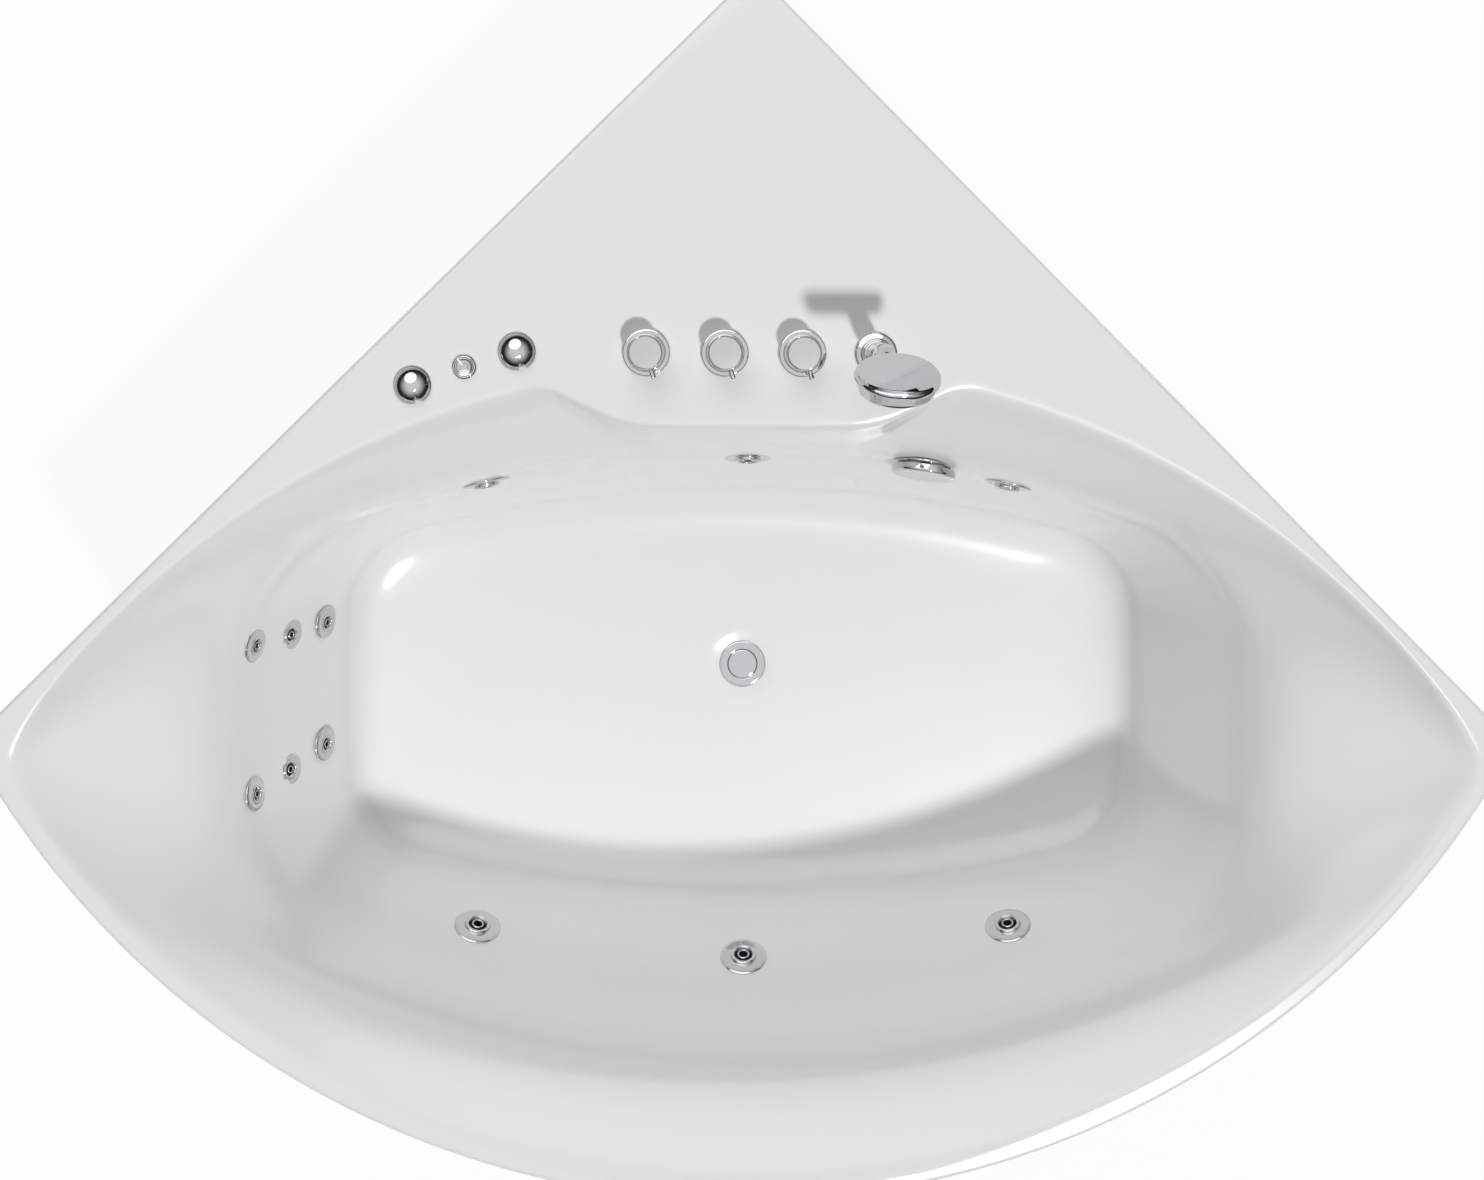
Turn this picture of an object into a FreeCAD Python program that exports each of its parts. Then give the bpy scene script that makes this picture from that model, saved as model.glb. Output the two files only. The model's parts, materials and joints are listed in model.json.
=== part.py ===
import FreeCAD, Part

import math
import os

from FreeCAD import Vector

os.makedirs("parts", exist_ok=True)

# A corner bathtub with water jets, millimetres, +Z up. The room's corner is at the back (+Y) and the bather
# steps in over the curved front (-Y). Plan positions are given as (x, b): x to the right, and b the
# distance forward from the room's corner. The origin is on the floor under the middle of the plan.

UP = Vector(0, 0, 1)
DOWN = Vector(0, 0, -1)
BACK = Vector(0, 1, 0)
RIGHT = Vector(1, 0, 0)

# ---- plan and rim ------------------------------------------------------------------------------
side_length = 1400.0        # each straight side, along the room's wall
front_radius = 1130.0       # curved front edge
rim_height = 600.0
sheet = 8.0                 # reinforced acrylic, everywhere in the shell
lip_depth = 40.0            # turned-down edge
corner_round = 35.0         # rim's two far corners in plan
apex_round = 12.0
edge_round = 7.0            # top edge of the rim

# ---- basin -------------------------------------------------------------------------------------
basin_depth = 430.0
basin_centre_b = 985.0      # where the plan rays of the basin's outline start
outline_points = 48
ray_reach = 1.3             # longest ray, as a share of the plan's half sizes
# Stations from the rim down to the floor: share of the depth, side inset from the rim's far corner,
# side radius, back edge's b and radius, front edge's inset from the tub's front, its radius, corner.
STATIONS = (
    (0.000, 40.0, 200.0, 499.0, 1135.0, 24.0, 1106.0, 50.0),
    (0.060, 97.0, 330.0, 532.0, 1190.0, 82.0, 1165.0, 75.0),
    (0.140, 172.0, 480.0, 568.0, 1270.0, 132.0, 1235.0, 95.0),
    (0.250, 262.0, 750.0, 606.0, 1400.0, 154.0, 1330.0, 112.0),
    (0.450, 314.0, 1200.0, 631.0, 1560.0, 178.0, 1500.0, 116.0),
    (0.630, 352.0, 1700.0, 654.0, 1700.0, 216.0, 1680.0, 108.0),
    (0.860, 393.0, 2300.0, 688.0, 1820.0, 255.0, 1950.0, 92.0),
    (0.960, 412.0, 2450.0, 708.0, 1870.0, 281.0, 2150.0, 76.0),
    (1.000, 448.0, 2500.0, 744.0, 1900.0, 320.0, 2275.0, 60.0),
)
side_centre_rim_b = 1008.0  # widest place at the rim and at the floor
side_centre_floor_b = 968.0

# ---- tap deck, a tongue standing forward into the basin's back edge -----------------------------
tongue_front_b = 586.0
tongue_front_half = 158.0
tongue_root_b = 533.0
tongue_root_half = 272.0
tongue_depth = 385.0        # it runs down into the back wall
tongue_slope = 0.27         # run of its front face per drop
tongue_corner = 70.0
tongue_edge = 8.0

# ---- drain --------------------------------------------------------------------------------------
drain_x = 0.0
drain_b = 969.0
dish_radius = 49.5
dish_drop = 4.0
drain_flange_radius = 35.5
drain_cap_radius = 22.0
plug_lift = 10.0

# ---- deck fittings ------------------------------------------------------------------------------
tap_row_b = 490.0
TAPS = {"hot": -135.0, "cold": -35.0, "diverter": 64.0}
tap_flange_radius = 30.5
tap_flange_height = 8.0
tap_knob_radius = 22.0
tap_knob_height = 37.0
tap_hole_radius = 14.5
spindle_radius = 5.0
lever_radius = 2.6
lever_angle = -72.0         # degrees, seen from above
shower_x = 158.0
AIR_KNOBS = {"left": (-431.5, 533.5), "right": (-299.5, 490.0)}
air_knob_radius = 24.0
button_at = (-366.0, 510.0)
button_radius = 12.2
button_travel = 4.0

# ---- clearances ---------------------------------------------------------------------------------
running = 0.05              # radial, a shaft that turns in its bore
sliding = 0.3               # between pieces that pass each other
seat_gap = 0.3              # under a turning piece
pass_through = 0.8          # radial, a shank in its hole

# ---- frame and board ----------------------------------------------------------------------------
board_thickness = 18.0
board_margin = 12.0         # beyond the floor's outline
rail = 30.0                 # square tube
rail_wall = 2.0
post = 25.0
foot_pad_radius = 25.0
foot_pad_height = 14.0
stud_radius = 6.0
stud_socket = 8.0           # how deep the stud stands in its foot
stud_above = 8.0
stud_nut_across = 18.0
stud_nut_height = 9.0

# Plan places of the frame's corners: under the apex, the sides' far ends and the floor's corners.
apex_post_b = 130.0
corner_post_at = (945.0, 985.0)
side_post_x = 500.0
cross_back_b = 800.0
cross_front_b = 1190.0
cross_front_half = 430.0
long_rail_x = 400.0
ARM_ANGLES = (-44.0, -22.0, 0.0, 22.0, 44.0)
arm_width = 25.0
arm_plate = 4.0
corner_tab = (961.0, 969.0, 982.0, 998.0)   # low x, high x, low b, high b
corner_tab_drop = 40.0

# ---- apron --------------------------------------------------------------------------------------
apron_gap = 1.0             # behind the rim's lip
apron_sheet = 4.0
apron_low = 25.0
apron_flange = 22.0
apron_half_angle = 57.0
screw_radius = 2.5
screw_head_radius = 6.0

# ---- pump ---------------------------------------------------------------------------------------
tray_back_b = 300.0
tray_front_b = 470.0
tray_sheet = 4.0
pump_b = 385.0
pump_axis_height = 100.0
motor_radius = 65.0
motor_length = 160.0
fin_height = 5.0
fin_width = 3.0
fin_pitch = 12.0
fin_margin = 14.0
cover_lap = 2.0
cover_side = 25.0
cover_end = 34.0
cover_bevel = 8.0
VENT_RADII = (20.0, 34.0, 48.0)
vent_width = 3.0
vent_depth = 4.0
volute_radius = 80.0
volute_length = 75.0
volute_nose = 20.0
volute_bevel = 12.0
discharge_offset = 40.0
pump_suction_radius = 24.0
pump_discharge_radius = 22.0
port_length = 32.0
union_wall = 8.0
union_length = 22.0
union_gap = 2.0
foot_middle = 80.0
foot_block_size = (110.0, 100.0, 80.0)
foot_plate_size = (140.0, 150.0, 8.0)
terminal_middle = 90.0
terminal_size = (80.0, 70.0, 36.0)

# ---- wall fittings ------------------------------------------------------------------------------
pad_depth = 14.0            # behind a fitting's seat
seat_sink = 1.5             # flat seats are let this far into the curved wall
seat_reach = 24.0
gasket = 2.0
pad_margin = 3.0
jet_flange_thickness = 2.2
jet_cap_thickness = 1.8
jet_skirt = 4.0
jet_sleeve_wall = 4.3
jet_ball_gap = 0.2
jet_floor = 4.0
jet_tail = 18.0
jet_inlet_wall = 2.0
JET_SIZES = {
    "large": dict(flange=33.0, boss=18.0, rise=8.0, ball=12.0, nose=8.5, nozzle=6.0, shank=21.0,
                  nut=30.0, nut_height=8.0, length=48.0, inlet=9.0),
    "small": dict(flange=23.5, boss=13.0, rise=5.5, ball=8.0, nose=5.4, nozzle=3.6, shank=14.8,
                  nut=21.0, nut_height=6.0, length=42.0, inlet=6.0),
}
# Where each jet's line of sight meets the wall: x, b and depth below the rim. The first of x and b
# that the line runs along only has to lie inside the bath.
JET_SPOTS = {
    "large": {
        "front_left": (-382.0, 985.0, 270.0), "front_middle": (0.0, 985.0, 270.0),
        "front_right": (382.0, 985.0, 270.0), "back_left": (-361.0, 985.0, 180.0),
        "back_middle": (0.0, 985.0, 180.0), "back_right": (361.0, 985.0, 180.0),
    },
    "small": {
        "side_back_high": (-200.0, 897.0, 180.0), "side_back_mid": (-200.0, 894.0, 250.0),
        "side_back_low": (-200.0, 888.0, 320.0), "side_front_high": (-200.0, 1101.0, 180.0),
        "side_front_mid": (-200.0, 1085.0, 250.0), "side_front_low": (-200.0, 1066.0, 320.0),
    },
}
overflow_x = 241.0
overflow_depth = 150.0
overflow_shank = 27.0
overflow_lap = 2.3          # the plate's rim laps over the body's flange by this
overflow_plate_radius = 38.0
overflow_plate_height = 4.0
overflow_bevel = 1.5
overflow_knob_radius = 44.0
overflow_knob_low = 7.0     # the open slot behind the knob, where the water leaves
overflow_knob_high = 18.0
overflow_knob_face = 6.0    # thickness of its face
overflow_knob_wall = 3.0
overflow_chamber = 22.0
overflow_length = 60.0
overflow_floor = 4.0
overflow_pipe_radius = 16.0
overflow_pipe_wall = 3.0
overflow_spout = 22.0
overflow_nut_height = 8.0
hub_radius = 9.0            # carries the knob's shaft in the overflow
hub_low = -18.0
hub_high = -8.0
web = 3.0
filler_collar_radius = 14.0
filler_collar = 4.0

# ---- waste --------------------------------------------------------------------------------------
waste_thread_radius = 24.0
waste_thread_length = 40.0
waste_bore_radius = 20.5
waste_flange_height = 2.5
waste_flange_edge = 1.2
waste_cup_gap = 0.5         # round the plug's cap
waste_cup_depth = 1.5
waste_body_radius = 30.0
waste_body_flange = 7.0
waste_body_flange_height = 4.0
waste_length = 60.0
plug_cap_height = 3.0
plug_cap_bevel = 1.0
plug_stem_margin = 4.0      # below its guide with the plug at full lift
stem_guide_radius = 4.0
guide_radius = 8.0
guide_height = 8.0
suction_radius = 14.0
suction_wall = 3.0
suction_length = 25.0
suction_depth = 40.0
trap_radius = 40.0
trap_length = 57.0
trap_wall = 3.0
trap_inlet = 14.0
outlet_radius = 20.0
outlet_wall = 2.0
outlet_collar = 10.0        # stops the waste pipe's socket
outlet_collar_rise = 4.0
outlet_length = 45.0
outlet_turn = 15.0          # from straight back, so the waste pipe passes beside the back foot

# ---- taps' inner sizes --------------------------------------------------------------------------
tap_neck_radius = 11.0
tap_neck_top = 7.0
knob_hollow = 12.0
knob_skirt_in = 18.5
knob_crown = 7.0
lever_depth = 5.0
lever_reach = 12.0
lever_rise = 24.0
valve_thread = 30.0
valve_radius = 17.0
valve_length = 66.0
supply_radius = 10.4        # G1/2 male tail
supply_bore = 7.5
supply_length = 15.0
locknut_height = 8.0
tap_nut_across = 38.0

# ---- hand shower's sizes ------------------------------------------------------------------------
holder_radius = 14.0
holder_length = 70.0
holder_flange_radius = 27.5
holder_height = 12.0
holder_nut_across = 38.0
sleeve_radius = 12.0
stem_radius = 9.0
wand_radius = 11.5
neck_start = 108.0
head_height = 190.0
head_forward = 20.0
head_offset_x = 6.0
head_tilt = 62.5            # spray axis from straight down, degrees
head_back_radius = 48.0
head_radius = 51.0
head_thickness = 25.0
plate_radius = 46.0
plate_thickness = 5.0

# ---- air controls' and button's sizes -----------------------------------------------------------
air_flange_height = 2.0
air_dome_height = 14.0
air_valve_radius = 15.0
air_valve_length = 50.0
air_nut_across = 40.0
notch_length = 9.0
notch_width = 6.0
bezel_radius = 16.0
bezel_height = 5.0
button_barrel_wall = 1.2
button_floor = 3.0
bellows_ratio = 5.25        # bellows length per travel
button_skirt = 10.0
button_nut_across = 34.0

half_width = side_length / math.sqrt(2)
front_centre_b = half_width - math.sqrt(front_radius ** 2 - half_width ** 2)
front_b = front_centre_b + front_radius
apex_cut = apex_round * (math.sqrt(2) - 1)
middle_b = (front_b + apex_cut) / 2
floor_z = rim_height - basin_depth
deck_under = rim_height - sheet
board_top = floor_z - sheet
board_under = board_top - board_thickness
rail_under = board_under - rail


def at(x, b, z=0.0):
    """The point above plan place (x, b)."""
    return Vector(x, middle_b - b, z)


def write(node, *solids):
    """Writes the solids of one node."""
    shape = solids[0] if len(solids) == 1 else Part.makeCompound(list(solids))
    shape.exportStep(f"parts/{node}.step")


gathered = {}


def gather(node, solid):
    """Keeps a solid for a node that holds several like pieces."""
    gathered.setdefault(node, []).append(solid)


def stand(shape, point, axis=UP):
    """Moves a shape made about +Z at the origin to a point, its +Z turned to axis."""
    placed = shape.copy()
    placed.Placement = FreeCAD.Placement(point, FreeCAD.Rotation(UP, axis)).multiply(placed.Placement)
    return placed


def turned(profile):
    """A solid of revolution about Z from (r, z) corners."""
    corners = [Vector(r, 0, z) for r, z in profile]
    face = Part.Face(Part.makePolygon(corners + corners[:1]))
    return face.revolve(Vector(0, 0, 0), UP, 360)


def ring(outer, inner, low, high):
    return turned([(inner, low), (outer, low), (outer, high), (inner, high)])


def disc(radius, low, high):
    return Part.makeCylinder(radius, high - low, Vector(0, 0, low))


def hexagon(across, low, high):
    radius = across / math.sqrt(3)
    corners = [Vector(radius * math.cos(k * math.pi / 3), radius * math.sin(k * math.pi / 3), low)
               for k in range(7)]
    return Part.Face(Part.makePolygon(corners)).extrude(Vector(0, 0, high - low))


def hex_nut(across, bore, low, high):
    return hexagon(across, low, high).cut(disc(bore, low - 1, high + 1))


def fuse(shapes):
    return shapes[0].multiFuse(shapes[1:]).removeSplitter()


def tube_path(points):
    """Straight runs joined by tangent arcs, each as large as its two runs allow."""
    edges = []
    start = points[0]
    for before, corner, after in zip(points, points[1:], points[2:]):
        to_before = (before - corner).normalize()
        to_after = (after - corner).normalize()
        cut = 0.45 * min((before - corner).Length, (after - corner).Length)
        first = corner + to_before * cut
        last = corner + to_after * cut
        half_turn = (math.pi - to_before.getAngle(to_after)) / 2
        radius = cut / math.tan(half_turn)
        inward = (to_before + to_after).normalize()
        middle = corner + inward * (math.hypot(radius, cut) - radius)
        edges.append(Part.LineSegment(start, first).toShape())
        edges.append(Part.Arc(first, middle, last).toShape())
        start = last
    edges.append(Part.LineSegment(start, points[-1]).toShape())
    return Part.Wire(edges)


def hose(points, radius):
    """A round hose along points."""
    path = tube_path(points)
    circle = Part.Wire(Part.makeCircle(radius, points[0], points[1] - points[0]))
    return path.makePipeShell([circle], True, False)


# ---- shell --------------------------------------------------------------------------------------

def rim_face(inset, z):
    """The rim's outline in plan, moved in by inset, with sharp corners."""
    apex_b = inset * math.sqrt(2)
    radius = front_radius - inset
    total = apex_b + front_centre_b
    corner_b = (total + math.sqrt(total ** 2 - 2 * (apex_b ** 2 + front_centre_b ** 2 - radius ** 2))) / 2
    corner_x = corner_b - apex_b
    apex = at(0, apex_b, z)
    left = at(-corner_x, corner_b, z)
    right = at(corner_x, corner_b, z)
    front = at(0, front_centre_b + radius, z)
    edges = [
        Part.LineSegment(apex, left).toShape(),
        Part.Arc(left, front, right).toShape(),
        Part.LineSegment(right, apex).toShape(),
    ]
    return Part.Face(Part.Wire(edges))


def upright_edges(solid):
    return [e for e in solid.Edges if abs(e.tangentAt(e.FirstParameter).z) > 0.99]


def rim_block(inset, low, high):
    """The rim's outline as a block, its corners rounded."""
    block = rim_face(inset, low).extrude(Vector(0, 0, high - low))
    for edge in upright_edges(block):
        far = abs(edge.CenterOfMass.x) > 1
        radius = corner_round if far else apex_round
        near_edge = [e for e in upright_edges(block)
                     if (e.CenterOfMass - edge.CenterOfMass).Length < 1]
        block = block.makeFillet(max(radius - inset, 3.0), near_edge)
    return block


def rounded_max(one, two, radius):
    """The larger of two distances, with the corner between them rounded."""
    over_one = max(radius + one, 0.0)
    over_two = max(radius + two, 0.0)
    return min(-radius, max(one, two)) + math.hypot(over_one, over_two)


def outside(station, x, b, outset):
    """How far plan place (x, b) lies outside the basin at a station: negative inside."""
    share, side_in, side_r, back_b, back_r, front_in, front_r, corner = station
    side_b = side_centre_rim_b + (side_centre_floor_b - side_centre_rim_b) * share
    back = back_b + back_r - math.sqrt(back_r ** 2 - x * x) - b - outset
    front = b - (front_b - front_in - front_r + math.sqrt(front_r ** 2 - x * x)) - outset
    side = abs(x) - (half_width - side_in - (b - side_b) ** 2 / (2 * side_r)) - outset
    return rounded_max(rounded_max(side, back, corner), front, corner)


def outline(station, outset, drop):
    """The closed smooth outline of the basin at a station."""
    points = []
    for k in range(outline_points):
        turn = 2 * math.pi * k / outline_points
        step_x = half_width * math.cos(turn)
        step_b = (front_b - tongue_front_b) / 2 * math.sin(turn)
        near, far = 0.0, ray_reach
        for _ in range(40):
            middle = (near + far) / 2
            if outside(station, step_x * middle, basin_centre_b + step_b * middle, outset) > 0:
                far = middle
            else:
                near = middle
        z = rim_height - basin_depth * station[0] - drop
        points.append(at(step_x * near, basin_centre_b + step_b * near, z))
    curve = Part.BSplineCurve()
    curve.interpolate(Points=points, PeriodicFlag=True)
    return Part.Wire(curve.toShape())


def basin(outset, drop):
    """The space inside the basin, or with outset and drop the outside of its wall."""
    return Part.makeLoft([outline(s, outset, drop) for s in STATIONS], True, False)


def tongue(inset):
    """The tap deck's tongue. With inset it is the hollow under the deck."""
    def plan(drop):
        run = tongue_slope * drop - inset
        front = tongue_front_b + run
        root = tongue_root_b + run
        z = rim_height - drop
        hidden = tongue_root_b - 110.0
        half_root = tongue_root_half - inset
        half_front = tongue_front_half - inset / 2
        corners = [at(-half_root, hidden, z), at(-half_root, root, z), at(-half_front, front, z),
                   at(half_front, front, z), at(half_root, root, z), at(half_root, hidden, z)]
        return Part.makePolygon(corners + corners[:1])
    top = sheet if inset else 0.0
    solid = Part.makeLoft([plan(top), plan(tongue_depth + top)], True, True)
    front_corners = [e for e in solid.Edges
                     if len(e.Vertexes) == 2
                     and abs(e.Vertexes[0].Point.z - e.Vertexes[1].Point.z) > tongue_depth / 2
                     and abs(e.CenterOfMass.x) < tongue_front_half + 1]
    solid = solid.makeFillet(tongue_corner - inset, front_corners)
    if inset:
        return solid
    top_edges = [e for e in solid.Edges
                 if abs(e.BoundBox.ZMin - rim_height) < 0.01 and e.BoundBox.YMin < at(0, tongue_root_b).y - 1]
    return solid.makeFillet(tongue_edge, top_edges)


basin_space = basin(0.0, 0.0).cut(tongue(0.0))
basin_outside = basin(sheet, sheet).cut(tongue(sheet))
deck = rim_block(0.0, rim_height - lip_depth, rim_height)
top_edges = [e for e in deck.Edges if abs(e.BoundBox.ZMin - rim_height) < 0.01]
deck = deck.makeFillet(edge_round, top_edges)
deck = deck.cut(rim_block(sheet, rim_height - lip_depth - 1, deck_under))
dish = turned([(0, -dish_drop), (drain_flange_radius + 0.5, -dish_drop), (dish_radius, 0.0), (0, 0.0)])
dish = stand(dish, at(drain_x, drain_b, floor_z))
wall_faces = [f for f in basin_space.Faces if f.BoundBox.ZLength > sheet]


def wall_spot(start, toward):
    """Where a straight line from start meets the basin's wall, and the wall's normal into the bath."""
    line = Part.makeLine(start, start + toward * 2000)
    for face in wall_faces:
        gap, pairs, _ = line.distToShape(face)
        if gap < 1e-3:
            point = pairs[0][1]
            normal = face.normalAt(*face.Surface.parameter(point))
            if normal.dot(toward) > 0:
                normal = normal * -1
            return point, normal


# ---- holes through the shell --------------------------------------------------------------------
pads = []
cutters = []


def wall_port(seat, axis, hole, face_radius, pad_radius):
    """A hole in the wall, with a flat seat in the bath and a flat pad behind."""
    pads.append(stand(disc(pad_radius, -pad_depth, -seat_sink), seat, axis))
    cutters.append(stand(disc(hole, -pad_depth - 1, 1), seat, axis))
    cutters.append(stand(disc(face_radius, 0, seat_reach), seat, axis))


def deck_port(x, b, hole):
    cutters.append(stand(disc(hole, -sheet - 1, 1), at(x, b, rim_height)))


# ---- water jets ---------------------------------------------------------------------------------

def jet_pieces(size):
    """Ring, nozzle, body, nut and gasket of a jet, about its seat on the wall."""
    ball, cap_low = size["ball"], jet_flange_thickness
    skirt = size["flange"] - jet_skirt
    sleeve = ball + jet_sleeve_wall
    equator = -ball / 2
    lip = math.sqrt(0.75) * ball + jet_ball_gap
    cap_top = cap_low + jet_cap_thickness
    length = size["length"]
    socket = stand(Part.makeSphere(ball + jet_ball_gap), Vector(0, 0, equator))
    jet_ring = turned([
        (lip, equator), (sleeve, equator), (sleeve, cap_low), (skirt + jet_ball_gap, cap_low),
        (skirt + jet_ball_gap, 0), (size["flange"], 0), (size["flange"], cap_low), (skirt, cap_top),
        (size["boss"] + 1.5, cap_top), (size["boss"], cap_top + 1.5), (size["boss"], size["rise"] - 1),
        (size["boss"] - 1, size["rise"]), (ball + 1.4, size["rise"]), (lip, equator + ball / 2),
    ]).cut(socket)
    bore = sleeve + jet_ball_gap
    body = turned([
        (bore, cap_low), (skirt, cap_low), (skirt, 0), (size["shank"], 0), (size["shank"], -length),
        (0, -length), (0, -length + jet_floor), (lip, -length + jet_floor),
        (lip, equator - jet_ball_gap), (bore, equator - jet_ball_gap),
    ]).cut(socket)
    inlet = size["inlet"]
    inlet_at = Vector(0, 0, jet_floor + inlet - length)
    water = Part.makeCylinder(inlet, size["shank"] + jet_tail, inlet_at, RIGHT)
    body = body.fuse(water.cut(disc(size["shank"] - 1, -length, 0)))
    body = body.cut(Part.makeCylinder(inlet - jet_inlet_wall, size["shank"] + jet_tail + 1, inlet_at, RIGHT))
    tip = Part.makeCylinder(size["nose"], size["rise"] - 0.5 - equator, Vector(0, 0, equator))
    nozzle = stand(Part.makeSphere(ball), Vector(0, 0, equator)).fuse(tip)
    nozzle = nozzle.cut(disc(size["nozzle"], equator - ball, size["rise"]))
    nozzle = nozzle.cut(stand(Part.makeCone(ball * 0.7, size["nozzle"], ball * 0.5),
                              Vector(0, 0, equator - ball)))
    nut = ring(size["nut"], size["shank"] + running, -pad_depth - gasket - size["nut_height"],
               -pad_depth - gasket)
    seal = ring(size["nut"], size["shank"] + sliding, -pad_depth - gasket, -pad_depth)
    return {"jet_rings": jet_ring, "nozzle": nozzle, "jet_bodies": body, "wall_nuts": nut,
            "wall_gaskets": seal}


def spread(size, start, toward):
    """A jet's seat and axis where a line from start meets the wall."""
    point, normal = wall_spot(start, toward)
    wall_port(point - normal * seat_sink, normal, size["shank"] + pass_through,
              size["flange"] + sliding, size["nut"] + pad_margin)
    return point - normal * seat_sink, normal


TOWARD = {"front": BACK * -1, "back": BACK, "side": RIGHT * -1}
nozzle_places = {}
for kind, spots in JET_SPOTS.items():
    size = JET_SIZES[kind]
    pieces = jet_pieces(size)
    for name, (x, b, depth) in spots.items():
        seat, axis = spread(size, at(x, b, rim_height - depth), TOWARD[name.split("_")[0]])
        nozzle_places[name] = (seat - axis * (size["ball"] / 2), axis)
        for node, piece in pieces.items():
            placed = stand(piece, seat, axis)
            if node == "nozzle" and kind == "large":
                write(f"jet_nozzle_{name}", placed)
            elif node == "nozzle":
                gather("side_jet_nozzles", placed)
            else:
                gather(node, placed)

# ---- taps ---------------------------------------------------------------------------------------
tap_flange = turned([
    (tap_neck_radius + sliding, 0), (tap_flange_radius, 0), (tap_flange_radius, tap_flange_height - 4),
    (tap_flange_radius - 2.5, tap_flange_height - 1), (tap_flange_radius - 6, tap_flange_height),
    (tap_neck_radius + sliding, tap_flange_height),
])
knob_low = tap_flange_height + seat_gap
knob_top = knob_low + tap_knob_height
rim_in = tap_knob_radius - 3.4
cap_edge = tap_knob_radius - 4.4
spindle_bore = spindle_radius + running
tap_knob = turned([
    (spindle_bore, knob_low + knob_hollow), (knob_skirt_in, knob_low + knob_hollow),
    (knob_skirt_in, knob_low),
    (tap_knob_radius, knob_low), (tap_knob_radius, knob_top - 1.5), (tap_knob_radius - 1.5, knob_top),
    (rim_in, knob_top), (rim_in, knob_top - 1.6), (cap_edge, knob_top - 1.6), (cap_edge, knob_top - 0.6),
    (cap_edge - 0.8, knob_top), (0, knob_top), (0, knob_top - knob_crown),
    (spindle_bore, knob_top - knob_crown),
])
lever_root = tap_knob_radius - lever_depth
lever_z = knob_low + lever_rise
tap_lever = Part.makeCylinder(lever_radius, lever_depth + lever_reach, Vector(lever_root, 0, lever_z), RIGHT)
tip_edge = [e for e in tap_lever.Edges if abs(e.CenterOfMass.x - (tap_knob_radius + lever_reach)) < 0.01]
tap_lever = tap_lever.makeFillet(lever_radius * 0.4, tip_edge)
tap_knob = tap_knob.fuse(tap_lever)
spindle_low = -valve_length * 0.6
tap_spindle = disc(spindle_radius, spindle_low, knob_top - knob_crown - seat_gap)
tap_valve = turned([
    (spindle_bore, tap_neck_top), (tap_neck_radius, tap_neck_top), (tap_neck_radius, -1),
    (tap_hole_radius - pass_through, -1), (tap_hole_radius - pass_through, -valve_thread),
    (valve_radius, -valve_thread), (valve_radius, -valve_length), (supply_radius, -valve_length),
    (supply_radius, -valve_length - supply_length), (supply_bore, -valve_length - supply_length),
    (supply_bore, spindle_low - 4), (spindle_bore, spindle_low - 4),
])
nut_low = -sheet - gasket - locknut_height
tap_nut = hex_nut(tap_nut_across, tap_hole_radius - pass_through + running, nut_low, -sheet - gasket)
tap_washer = ring(tap_nut_across / 2 + 1, tap_hole_radius - pass_through + sliding, -sheet - gasket, -sheet)
lever_turn = FreeCAD.Rotation(UP, lever_angle)
for name, x in TAPS.items():
    place = at(x, tap_row_b, rim_height)
    deck_port(x, tap_row_b, tap_hole_radius)
    knob = tap_knob.copy()
    knob.Placement = FreeCAD.Placement(place, lever_turn).multiply(knob.Placement)
    write(f"{name}_tap_knob", knob)
    write(f"{name}_tap_spindle", stand(tap_spindle, place))
    gather("tap_flanges", stand(tap_flange, place))
    gather("tap_valves", stand(tap_valve, place))
    gather("deck_nuts", stand(tap_nut, place))
    gather("deck_washers", stand(tap_washer, place))

# ---- hand shower --------------------------------------------------------------------------------
shower_place = at(shower_x, tap_row_b, rim_height)
deck_port(shower_x, tap_row_b, holder_radius + pass_through)
holder_bore = sleeve_radius + running
holder = turned([
    (holder_bore, -holder_length), (holder_radius, -holder_length), (holder_radius, 0),
    (holder_flange_radius, 0), (holder_flange_radius, 3), (holder_flange_radius - 2, 5),
    (holder_radius + 6, 7), (holder_radius + 3, holder_height), (holder_bore, holder_height),
])
write("shower_holder", stand(holder, shower_place))
holder_nut = hex_nut(holder_nut_across, holder_radius + running, nut_low, -sheet - gasket)
gather("deck_nuts", stand(holder_nut, shower_place))
holder_washer = ring(holder_nut_across / 2 + 1, holder_radius + sliding, -sheet - gasket, -sheet)
gather("deck_washers", stand(holder_washer, shower_place))
stem_bore = stem_radius + running
sleeve_low = holder_height + seat_gap
sleeve_top = sleeve_low + 3
sleeve = turned([
    (stem_bore, -holder_length + 4), (sleeve_radius, -holder_length + 4), (sleeve_radius, sleeve_low),
    (holder_radius + 2.5, sleeve_low), (holder_radius + 2, sleeve_top), (stem_bore, sleeve_top),
])
write("shower_guide_sleeve", stand(sleeve, shower_place))
wand_low = sleeve_top + seat_gap
stem_low = -holder_length - 4
stem = disc(stem_radius, stem_low, wand_low + 10)
spray = Vector(0, -math.sin(math.radians(head_tilt)), -math.cos(math.radians(head_tilt)))
head_back = Vector(head_offset_x, -head_forward, head_height)
head = turned([
    (0, 0), (head_back_radius - 2, 0), (head_back_radius, 2), (head_radius, head_thickness - 2),
    (head_radius - 1, head_thickness), (plate_radius + sliding, head_thickness),
    (plate_radius + sliding, head_thickness - plate_thickness), (0, head_thickness - plate_thickness),
])
head = stand(head, head_back, spray)
in_plane = Vector(0, spray.z, -spray.y) * -1
neck_end = head_back + in_plane * (head_back_radius * 0.42) + spray * (head_thickness * 0.42)
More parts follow.
